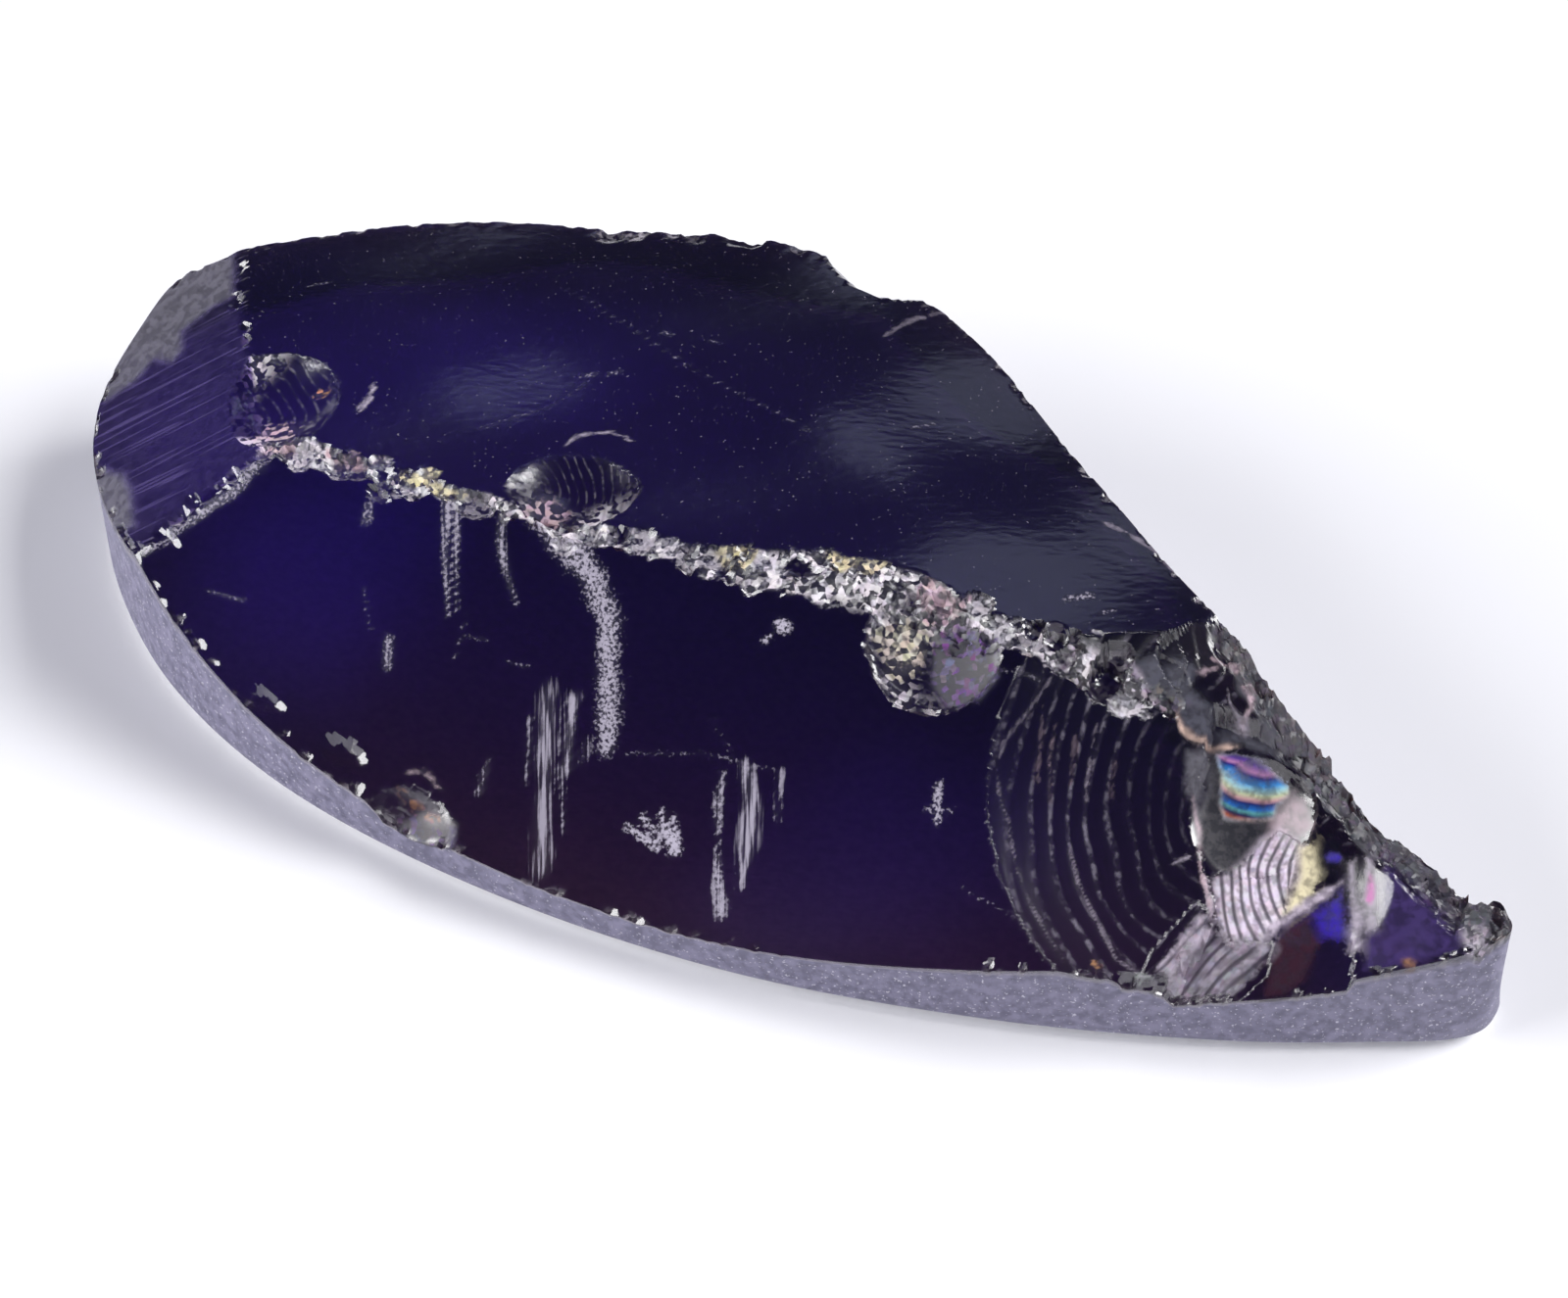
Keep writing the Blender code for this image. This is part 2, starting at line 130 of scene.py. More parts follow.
# Frosted strokes: strength, how streaky, then x, y and width at each point.
STROKES = (
    (0.75, 0.0, ((-8.9, -3.7, 0.9), (-7.6, -4.1, 1.3), (-6.7, -4.3, 1.24), (-5.49, -4.98, 1.24),
     (-4.62, -5.67, 1.24), (-4.02, -6.65, 1.16), (-3.63, -7.51, 1.16), (-3.16, -8.35, 1.33),
     (-2.75, -9.0, 0.9))),
    (0.7, 0.5, ((-12.51, -4.61, 0.5), (-11.9, -5.92, 0.38), (-10.75, -7.73, 0.1))),
    (0.7, 0.5, ((-12.13, -4.48, 0.34), (-11.25, -6.2, 0.2), (-10.48, -7.41, 0.1))),
    (0.7, 0.5, ((-10.31, -4.13, 0.5), (-9.91, -5.01, 0.46), (-9.09, -5.82, 0.25),
     (-8.33, -6.47, 0.12))),
    (0.62, 1.0, ((-5.73, -8.57, 1.1), (-4.56, -10.88, 0.8), (-3.43, -13.14, 0.97))),
    (0.72, 1.0, ((-4.72, -8.31, 0.64), (-3.96, -10.23, 0.4))),
    (0.6, 1.0, ((-4.22, -10.23, 0.32), (-3.18, -11.86, 0.16))),
    (0.55, 1.0, ((-6.1, -9.4, 0.2), (-5.27, -11.11, 0.2))),
    (0.4, 0.6, ((-3.53, -9.26, 0.8), (-3.6, -9.91, 0.4))),
    (0.6, 0.6, ((-7.03, -10.99, 0.28), (-6.92, -11.98, 0.36))),
    (0.95, 0.0, ((-0.9, -10.91, 0.22), (0.59, -11.08, 0.26))),
    (0.85, 0.0, ((-0.45, -10.46, 0.2), (0.55, -10.78, 0.24))),
    (0.95, 0.0, ((0.15, -10.06, 0.23), (1.21, -10.95, 0.35))),
    (0.95, 0.0, ((0.66, -9.97, 0.16), (1.43, -10.87, 0.22))),
    (0.76, 0.6, ((1.89, -8.22, 0.31), (2.17, -9.11, 0.39), (2.68, -10.01, 0.16),
     (3.19, -11.01, 0.55), (3.85, -11.97, 0.63))),
    (0.72, 1.0, ((2.56, -7.7, 0.55), (3.31, -8.52, 0.94), (3.75, -9.62, 1.17),
     (4.22, -10.94, 0.31))),
    (0.6, 1.0, ((4.01, -7.46, 0.39), (4.58, -8.73, 0.16))),
    (1.0, 0.0, ((1.76, -3.56, 0.5), (2.03, -3.59, 0.5))),
    (0.9, 0.0, ((1.46, -4.19, 0.18), (1.62, -4.01, 0.18))),
    (0.65, 0.3, ((-12.68, -9.17, 0.37), (-12.29, -9.86, 0.46))),
    (0.6, 0.3, ((-15.58, -5.51, 0.34), (-15.38, -6.17, 0.55))),
    (0.75, 0.0, ((9.85, -5.79, 0.34), (10.34, -6.68, 0.38))),
    (0.6, 0.0, ((9.76, -6.53, 0.18), (10.73, -6.24, 0.18))),
    (0.5, 0.0, ((-11.88, 4.54, 0.22), (-11.49, 4.9, 0.22))),
    (0.5, 0.0, ((-11.04, 5.14, 0.2), (-10.68, 5.48, 0.16))),
    (0.5, 0.0, ((-10.29, 8.29, 0.22), (-9.81, 8.25, 0.22))),
    (0.45, 0.0, ((-8.24, 8.67, 0.18), (-7.76, 8.63, 0.18))),
    (0.5, 0.0, ((1.58, 7.61, 0.2), (2.19, 8.29, 0.2))),
    (0.6, 0.0, ((11.34, 1.8, 0.31), (11.99, 2.34, 0.39))),
    (0.5, 0.0, ((12.74, 1.63, 0.22), (13.1, 2.07, 0.22))),
    (0.4, 0.0, ((-13.65, -0.54, 0.18), (-12.03, 2.2, 0.12), (-11.51, 4.25, 0.12))),
    (0.65, 0.0, ((-23.64, -10.08, 0.26), (-22.08, -8.44, 0.3), (-20.97, -7.12, 0.45),
     (-20.63, -6.0, 0.95), (-21.1, -4.86, 0.9))),
)
# Fine scratches: x and y of both ends.
HAIRLINES = (
    ((-15.5, 9.03), (-6.34, 6.4)), ((-6.34, 6.4), (-1.51, 5.12)), ((-1.98, -8.99), (0.45, -8.11)),
    ((0.45, -8.11), (4.04, -7.36)), ((0.76, -6.95), (2.34, -7.78)),
    ((-10.08, -7.4), (-9.87, -8.72)), ((-9.86, -8.02), (-8.82, -7.81)),
    ((-7.91, -8.15), (-6.9, -7.98)), ((-20.53, -10.29), (-18.91, -10.05)),
    ((-14.44, -8.07), (-13.6, -9.08)), ((8.8, -2.49), (11.79, -1.5)),
    ((12.08, -8.09), (15.05, -8.22)), ((-24.59, 3.6), (-23.98, 4.3)),
)
# Plan outlines of the corners of the left facet that are frosted and chipped.
FROSTED_CORNER = ((-28.69, 4.17), (-27.32, 2.01), (-28.08, 1.58), (-28.99, 0.43), (-28.30, -0.56),
                  (-28.44, -1.12), (-29.59, -0.93), (-29.88, -1.96), (-30.80, -2.88),
                  (-33.0, -1.82), (-33.36, 1.53), (-33.60, 5.11), (-29.75, 5.84))
CHIPPED_CORNER = ((-29.3, -6.1), (-27.3, -6.5), (-26.3, -7.3), (-24.9, -9.0), (-27.5, -9.5),
                  (-30.0, -7.5))
# Centres of painted glow on the top, light through the crystal painted into its tint: x, y, radius
# in x and y, strength.
PAINTED_GLOWS = ((-24.0, -1.0, 9.0, 9.0, 1.0), (-17.0, -8.0, 6.0, 4.5, 0.9), (-15.0, 4.0, 9.0, 5.0, 1.0),
         (8.5, -8.5, 6.5, 3.0, 0.45), (-6.0, 9.0, 6.0, 3.0, 0.35), (27.5, -2.6, 3.2, 2.2, 1.0),
         (23.6, -3.4, 1.0, 0.8, 1.0))
# The plan direction along which the ellipses of the painted glows and of the lens's arcs lie.
ARC_AXIS = (0.875, 0.485)
# Soft edge of a painted patch, and how far its colour reaches past the edge under the clear part.
RAGGED_EDGE = 0.30
TONE_REACH = 0.7
# Surface patterns: scale per metre, and angle and stretch of those that have a grain.
FINE_SCALE, COARSE_SCALE, CELL_SCALE = 7500.0, 2200.0, 4200.0
STREAK_SCALE, STREAK_TURN, STREAK_STRETCH = 6500.0, 2.077, 12.0
RIPPLE_SCALE, RIPPLE_TURN, RIPPLE_STRETCH = 2600.0, 0.506, 2.2
SAW_SCALE, SAW_TURN, SAW_STRETCH = 5200.0, 0.549, 30.0
BUMP_STRENGTH, BUMP_DEPTH = 0.4, 0.00006
MILK_INDEX = 1.5

# Milky colours of shells, cracks and crumbs, of painted glints and of painted shade.
GREY, MOTTLED, GREEN_GREY = (0.10, 0.10, 0.13), (0.13, 0.125, 0.15), (0.21, 0.20, 0.25)
LILAC, PINK, MAGENTA_GLINT = (0.84, 0.72, 0.86), (0.62, 0.46, 0.52), (0.65, 0.20, 0.50)
YELLOW, CREAM, PALE = (0.85, 0.76, 0.50), (0.72, 0.66, 0.54), (0.55, 0.48, 0.58)
ORANGE, PEACH, GREEN_WHITE_GLINT = (0.80, 0.38, 0.15), (0.80, 0.56, 0.46), (0.62, 0.72, 0.62)
BLUE, VIOLET, PAINTED_GLOW_FILM = (0.030, 0.010, 0.34), (0.075, 0.045, 0.19), (0.28, 0.22, 0.55)
BROWN, PAINTED_SHADE_BLACK = (0.036, 0.008, 0.02), (0.004, 0.004, 0.012)
# Painted shells and patches: colour, frost, roughness, whether ribs show in it, then the outline.
PATCHES = (
    # Painted glow: a thin violet film that brightens the left facet, standing in for light shining
    # through the left end.
    (PAINTED_GLOW_FILM, 0.07, 0.1, 0, ((-31.5, 3.5), (-28.6, 4.0), (-23.6, -2.2), (-20.4, -5.4), (-24.2, -9.9),
     (-28.5, -8.0), (-32.0, -3.0))),
    (GREY, 0.8, 0.3, 0, ((14.59, 0.7), (15.34, 1.28), (16.2, 1.69), (16.85, 1.64), (17.01, 1.11),
     (17.97, 1.03), (18.07, 0.6), (17.29, 0.61), (16.78, 0.43), (15.96, 0.23), (15.23, 0.38))),
    (GREY, 0.75, 0.3, 0, ((16.78, 0.43), (17.29, 0.61), (18.07, 0.94), (18.48, 1.06), (19.36, 1.11),
     (20.4, 1.11), (21.55, 1.3), (21.11, 0.98), (20.01, 0.75), (19.29, 0.68), (18.53, 0.39),
     (17.78, 0.0), (17.16, 0.05))),
    (MOTTLED, 0.8, 0.5, 0, ((17.55, -0.42), (18.39, 0.09), (18.7, -0.49), (18.75, -1.44),
     (19.06, -2.32), (18.54, -1.66), (18.02, -1.46), (17.74, -0.8))),
    # Painted shade: near black over the hollow under the lens.
    (PAINTED_SHADE_BLACK, 1.05, 1.6, 0, ((18.39, 0.09), (18.71, 0.34), (19.22, -0.54), (19.71, -1.12),
     (21.18, -0.41), (21.38, 0.04), (21.6, 0.3), (21.58, -0.31), (21.52, -1.07), (21.01, -1.87),
     (20.98, -2.76), (20.16, -2.96), (19.38, -2.62), (18.94, -1.79), (18.89, -0.82))),
    (PINK, 0.6, 0.6, 0, ((21.3, -0.2), (21.75, 0.45), (22.6, 0.1), (23.0, -0.42), (22.59, -0.89),
     (21.85, -0.85), (21.52, -1.07))),
    (LILAC, 0.95, 0.3, 1, ((20.2, -3.3), (20.76, -2.92), (21.02, -2.19), (21.26, -1.14),
     (21.74, -0.62), (22.65, -0.87), (23.04, -1.78), (23.09, -2.73), (23.36, -3.59), (23.03, -4.42),
     (22.45, -4.73), (21.77, -4.84), (20.95, -4.45), (20.52, -4.14))),
    (YELLOW, 0.9, 0.3, 0, ((22.67, -1.06), (23.38, -0.89), (23.9, -1.43), (23.95, -2.22),
     (24.0, -2.48), (23.43, -3.41), (23.19, -3.6), (23.09, -2.73), (23.14, -1.96))),
    # Painted shade: near black beside the yellow patch.
    (PAINTED_SHADE_BLACK, 0.5, 0.0, 0, ((23.13, -0.61), (23.81, -0.47), (24.4, -0.85), (24.64, -1.42),
     (24.0, -1.61), (23.52, -1.15))),
    (VIOLET, 0.5, 0.1, 0, ((24.74, -1.47), (24.82, -1.76), (24.07, -2.9), (23.01, -4.37),
     (23.22, -3.59), (23.99, -2.44))),
    (BLUE, 0.9, 0.2, 0, ((24.16, -2.78), (24.84, -1.79), (25.66, -3.09), (25.52, -3.44),
     (24.76, -3.4))),
    (BROWN, 0.8, 0.2, 0, ((23.3, -3.75), (24.07, -2.9), (25.0, -3.59), (24.93, -4.85),
     (24.52, -5.48), (23.71, -5.93), (23.39, -4.53))),
    (PALE, 0.6, 0.4, 0, ((20.3, -4.5), (21.77, -4.84), (23.05, -4.17), (23.51, -4.47),
     (22.8, -6.23), (21.33, -7.0), (19.9, -7.3), (20.05, -6.0))),
    (PALE, 0.75, 0.5, 0, ((24.63, -0.99), (24.9, -0.82), (25.3, -1.57), (25.94, -2.26),
     (26.55, -3.49), (25.88, -3.55), (25.49, -2.35))),
    (PALE, 0.65, 0.5, 0, ((25.17, -0.65), (25.51, -0.54), (26.11, -1.41), (26.71, -2.63),
     (26.35, -2.8), (25.72, -1.81))),
    (VIOLET, 0.55, 0.1, 0, ((25.81, -0.48), (26.46, -0.75), (27.91, -0.97), (29.73, -1.75),
     (29.87, -2.32), (27.87, -3.51), (26.81, -4.0), (26.41, -2.93), (26.75, -2.61))),
    (PALE, 0.7, 0.7, 0, ((29.56, -1.72), (30.23, -1.31), (31.28, -1.71), (31.58, -2.28),
     (30.27, -2.54))),
    (CREAM, 0.78, 0.5, 1, ((5.29, -2.4), (6.12, -1.4), (7.05, -1.52), (7.3, -2.53), (6.65, -3.15))),
    (VIOLET, 0.85, 1.0, 1, ((7.4, -1.3), (8.48, -0.95), (9.66, -1.1), (10.45, -2.14), (10.1, -3.0),
     (9.0, -3.3), (8.0, -2.7))),
    (VIOLET, 0.7, 1.0, 1, ((-9.9, -13.7), (-8.8, -13.2), (-7.3, -13.2), (-6.9, -14.0),
     (-8.3, -14.5), (-9.5, -14.5))),
)
# Ribs on painted breaks: the point that they spread from, their spacing, and the outline.
RIBBED_PATCHES = (
    ((24.6, -1.2), 0.36, ((20.2, -3.3), (21.02, -2.19), (21.26, -1.14), (21.74, -0.62),
     (22.65, -0.87), (23.09, -2.73), (23.36, -3.59), (23.03, -4.42), (21.77, -4.84),
     (20.52, -4.14))),
    ((28.8, -8.9), 0.42, ((20.1, -4.3), (21.8, -4.9), (23.3, -4.3), (23.6, -5.2), (22.9, -6.5),
     (21.4, -7.4), (19.5, -7.7), (19.4, -6.6))),
)
# The lens-shaped crack with its rainbow: outline, where its arcs turn about, their radii at
# both sides, and the colours from the inner arc out.
LENS = ((18.63, 0.16), (19.25, 0.48), (20.54, 0.63), (21.46, 0.52), (21.59, 0.31), (21.28, 0.0),
        (21.32, -0.33), (20.44, -0.72), (19.70, -1.10), (19.38, -0.86), (19.09, -0.29))
LENS_TURNS_ABOUT = (21.05, 2.88)
LENS_RADII = (3.6, 6.5)
RAINBOW = (
    (0.00, (0.02, 0.01, 0.12)), (0.10, (0.10, 0.04, 0.30)), (0.17, (0.45, 0.20, 0.42)),
    (0.22, (0.01, 0.01, 0.20)), (0.31, (0.04, 0.30, 0.75)), (0.38, (0.35, 0.66, 0.75)),
    (0.46, (0.62, 0.68, 0.42)), (0.53, (0.62, 0.34, 0.36)), (0.59, (0.01, 0.02, 0.16)),
    (0.67, (0.02, 0.16, 0.55)), (0.73, (0.12, 0.40, 0.42)), (0.80, (0.02, 0.02, 0.10)),
    (0.89, (0.42, 0.10, 0.04)), (1.00, (0.08, 0.06, 0.16)))
# Painted lines: colour, frost, width, then x and y along each.
LINES = (
    (PALE, 0.8, 0.18, ((14.59, 0.7), (15.23, 0.38), (15.96, 0.23), (16.51, 0.36))),
    (PEACH, 0.9, 0.18, ((16.65, 0.41), (17.14, 0.03), (17.79, -0.02), (18.55, 0.36),
     (19.29, 0.68))),
    (PALE, 0.7, 0.14, ((18.2, 1.59), (18.53, 1.28), (19.04, 1.1), (19.46, 1.12))),
    (PINK, 0.8, 0.2, ((18.67, 1.86), (19.04, 1.89), (19.26, 1.48), (19.14, 1.15))),
    (PINK, 0.6, 0.2, ((16.99, 1.51), (17.5, 1.82), (17.96, 2.25))),
    (PINK, 0.7, 0.22, ((17.23, 2.06), (17.95, 2.12), (18.38, 2.26))),
    (PINK, 0.9, 0.2, ((18.45, -1.49), (19.0, -2.05), (19.63, -3.12), (20.4, -4.04), (20.8, -4.48))),
    (LILAC, 0.6, 0.3, ((24.7, -1.53), (23.99, -2.44), (23.23, -3.62), (22.98, -4.32))),
    # Painted highlights: the next five lines are glints painted in as short coloured marks.
    (BLUE, 1.0, 0.2, ((23.82, -1.06), (24.1, -0.98), (24.37, -0.91))),
    (MAGENTA_GLINT, 0.8, 0.24, ((25.62, -1.09), (26.06, -1.89))),
    (ORANGE, 0.55, 0.3, ((17.61, -8.02), (18.03, -8.15))),
    (ORANGE, 0.5, 0.26, ((28.07, -3.2), (28.53, -3.24))),
    (GREEN_WHITE_GLINT, 0.9, 0.32, ((19.32, -7.67), (19.94, -7.57))),
    (LILAC, 0.6, 0.12, ((19.85, -7.26), (20.28, -5.87), (20.7, -4.61))),
    (LILAC, 0.6, 0.12, ((20.25, -7.6), (20.74, -5.87), (21.01, -4.54))),
    (PALE, 0.7, 0.12, ((21.34, -6.59), (21.84, -5.56), (22.3, -4.43))),
    (PALE, 0.6, 0.12, ((22.06, -6.54), (22.65, -5.38), (23.13, -4.02))),
    (PALE, 0.42, 0.2, ((15.09, -5.04), (16.04, -5.94), (17.22, -6.71), (18.4, -7.51),
     (20.14, -7.67))),
    (PALE, 0.35, 0.12, ((11.63, -4.44), (12.06, -5.08), (12.7, -5.53), (13.57, -6.57),
     (14.65, -7.43), (15.77, -8.07), (16.71, -8.55))),
    (PALE, 0.35, 0.12, ((11.63, -4.44), (11.5, -3.65), (11.83, -2.53), (12.19, -1.19),
     (12.62, 0.27))),
    (PINK, 0.4, 0.13, ((12.89, -2.1), (13.21, -3.15), (13.77, -4.16))),
    (LILAC, 0.32, 0.15, ((14.23, -1.3), (14.5, -2.34), (14.89, -3.46))),
    (PINK, 0.2, 0.16, ((13.65, -1.89), (13.94, -2.69), (14.14, -3.29))),
    (PINK, 0.22, 0.14, ((15.33, -1.75), (15.56, -2.45), (15.87, -3.03))),
    (PINK, 0.22, 0.16, ((12.27, -1.97), (12.83, -3.32), (13.22, -4.04))),
    (PALE, 0.6, 0.14, ((18.69, -3.65), (19.3, -3.08))),
    (PALE, 0.3, 0.3, ((-2.16, 11.98), (-1.62, 13.71), (-0.81, 14.79), (0.19, 15.23))),
    (PALE, 0.4, 0.26, ((10.56, 6.4), (11.7, 6.3), (13.1, 5.96), (14.5, 5.06))),
    (PALE, 0.65, 0.2, ((-10.16, 0.26), (-10.04, 1.26), (-9.02, 2.06), (-7.69, 1.81))),
    (ORANGE, 0.7, 0.3, ((-20.86, -1.49), (-20.2, -1.5))),
    (PALE, 0.9, 0.26, ((-18.63, -0.41), (-18.3, -1.3), (-18.3, -2.31))),
    (ORANGE, 0.35, 0.14, ((-10.21, -12.91), (-9.21, -13.07), (-7.74, -13.21))),
    (PINK, 0.45, 0.14, ((-10.1, -12.5), (-9.3, -12.2), (-8.2, -12.5))),
)
# Crumbs of another colour along the ridge: colour, frost, x, y, radius.
CRUMBS = (
    (PINK, 0.8, -20.9, -4.5, 1.2), (PINK, 0.7, -17.2, -3.6, 1.1), (YELLOW, 0.95, -14.2, -3.6, 0.9),
    (YELLOW, 0.9, -13.0, -3.6, 0.7), (YELLOW, 0.9, 3.5, 0.1, 1.1), (PINK, 0.85, 7.1, -0.25, 0.9),
    (LILAC, 1.0, -21.6, -5.5, 0.9), (YELLOW, 0.6, -1.0, -1.9, 0.7), (PINK, 0.6, -9.0, -2.9, 0.8),
)

# Where the crushed ridge starts and ends along x, its width, and how much wider it is about a
# share of its length: extra width, share, spread.
RIDGE_SPAN = (-20.4, 16.6)
RIDGE_WIDTH = 0.38
RIDGE_BULGE = (0.62, 0.66, 0.17)
RIDGE_SLOPE = 0.91
# Lowest, first guessed and highest level of the border.
LEVELS = (1.2, 6.0, 13.0)
# Strength and half width of a hairline, and their soft edge.
HAIRLINE_FROST, HAIRLINE_EDGE, HAIRLINE_CORE = 0.42, 0.11, 0.03

# Grid: stations along the stone, rows up each side of its top, rows down the walls and round
# the foot. Faces that meet at a larger angle than this have a sharp edge.
ALONG = 430
ACROSS = 95
SHARP_ANGLE = 0.45
WALL_ROWS = 9
ROUND_ROWS = 4


def smoothstep(low, high, value):
    """0 up to the low value and 1 from the high one on, by 3t^2 - 2t^3 between them."""
    share = np.clip((value - low) / (high - low), 0, 1)
    return share * share * (3 - 2 * share)


def smooth_ring(points, steps):
    """A closed curve through the points, each span a cubic led by its neighbours."""
    p = np.array(points, float)
    before, after, beyond = np.roll(p, 1, 0), np.roll(p, -1, 0), np.roll(p, -2, 0)
    t = (np.arange(steps) / steps)[None, :, None]
    line = (after - before)[:, None] * t
    square = (2 * before - 5 * p + 4 * after - beyond)[:, None] * t**2
    cube = (3 * p - before - 3 * after + beyond)[:, None] * t**3
    return (p[:, None] + 0.5 * (line + square + cube)).reshape(-1, p.shape[1])


def on_path(path, shares):
    """Points at the given shares of the path's length, which is measured in plan."""
    path = np.asarray(path, float)
    at = np.concatenate([[0], np.cumsum(np.linalg.norm(np.diff(path[:, :2], axis=0), axis=1))])
    return np.stack([np.interp(shares * at[-1], at, column) for column in path.T], axis=-1)


def noise(x, y, cell, seed):
    """Smooth values from -1 to 1: random numbers on a square grid, blended between its corners."""
    table = np.random.default_rng(seed).uniform(-1, 1, (64, 64))
    column, row = np.floor(x / cell).astype(int), np.floor(y / cell).astype(int)
    u, v = x / cell - column, y / cell - row
    u, v = u * u * (3 - 2 * u), v * v * (3 - 2 * v)
    a, b = table[column % 64, row % 64], table[(column + 1) % 64, row % 64]
    c, d = table[column % 64, (row + 1) % 64], table[(column + 1) % 64, (row + 1) % 64]
    return (a * (1 - u) + b * u) * (1 - v) + (c * (1 - u) + d * u) * v


def shards(x, y, cell, seed):
    """Flat tilted splinters, each round its own random point: height from -1 to 1."""
    table = np.random.default_rng(seed).uniform(-1, 1, (5, 64, 64))
    column, row = np.floor(x / cell).astype(int), np.floor(y / cell).astype(int)
    nearest = np.full(x.shape, np.inf)
    height = np.zeros(x.shape)
    for i in (-1, 0, 1):
        for j in (-1, 0, 1):
            level, tilt_x, tilt_y, shift_x, shift_y = table[:, (column + i) % 64, (row + j) % 64]
            dx = x / cell - (column + i + 0.5 + 0.45 * shift_x)
            dy = y / cell - (row + j + 0.5 + 0.45 * shift_y)
            away = dx * dx + dy * dy
            here = away < nearest
            nearest = np.where(here, away, nearest)
            height = np.where(here, 0.6 * level + 0.7 * (tilt_x * dx + tilt_y * dy), height)
    return height


def away_from(x, y, path):
    """Distance in plan from an open path, and the share of its spans at the nearest point."""
    best, share = np.full(x.shape, np.inf), np.zeros(x.shape)
    spans = len(path) - 1
    for number, ((ax, ay), (bx, by)) in enumerate(zip(path, path[1:])):
        dx, dy = bx - ax, by - ay
        t = np.clip(((x - ax) * dx + (y - ay) * dy) / (dx * dx + dy * dy), 0, 1)
        away = np.hypot(x - ax - t * dx, y - ay - t * dy)
        share = np.where(away < best, (number + t) / spans, share)
        best = np.minimum(best, away)
    return best, share


def outside(x, y, outline):
    """Signed distance in plan from a closed outline: positive outside it."""
    ring = list(outline) + [outline[0]]
    away, _ = away_from(x, y, ring)
    inside = np.zeros(x.shape, bool)
    for (ax, ay), (bx, by) in zip(ring, ring[1:]):
        crosses = (ay > y) != (by > y)
        inside ^= crosses & (x < ax + (bx - ax) * (y - ay) / (by - ay + (by == ay)))
    return np.where(inside, -away, away)


def turned(x, y, centre):
    """Offsets from a centre, along the arc axis and across it."""
    dx, dy = x - centre[0], y - centre[1]
    return dx * ARC_AXIS[0] + dy * ARC_AXIS[1], dy * ARC_AXIS[0] - dx * ARC_AXIS[1]


def height_on(face, x, y):
    """Height of a sloping plane over plan points: a * x + b * y + c."""
    return face[0] * x + face[1] * y + face[2]


def swell_at(x, y):
    """The back face's gentle waves: a sum of sines of u * x + v * y + phase."""
    return sum(h * np.sin(2 * np.pi * (u * x + v * y + p)) for h, u, v, p in SWELLS)


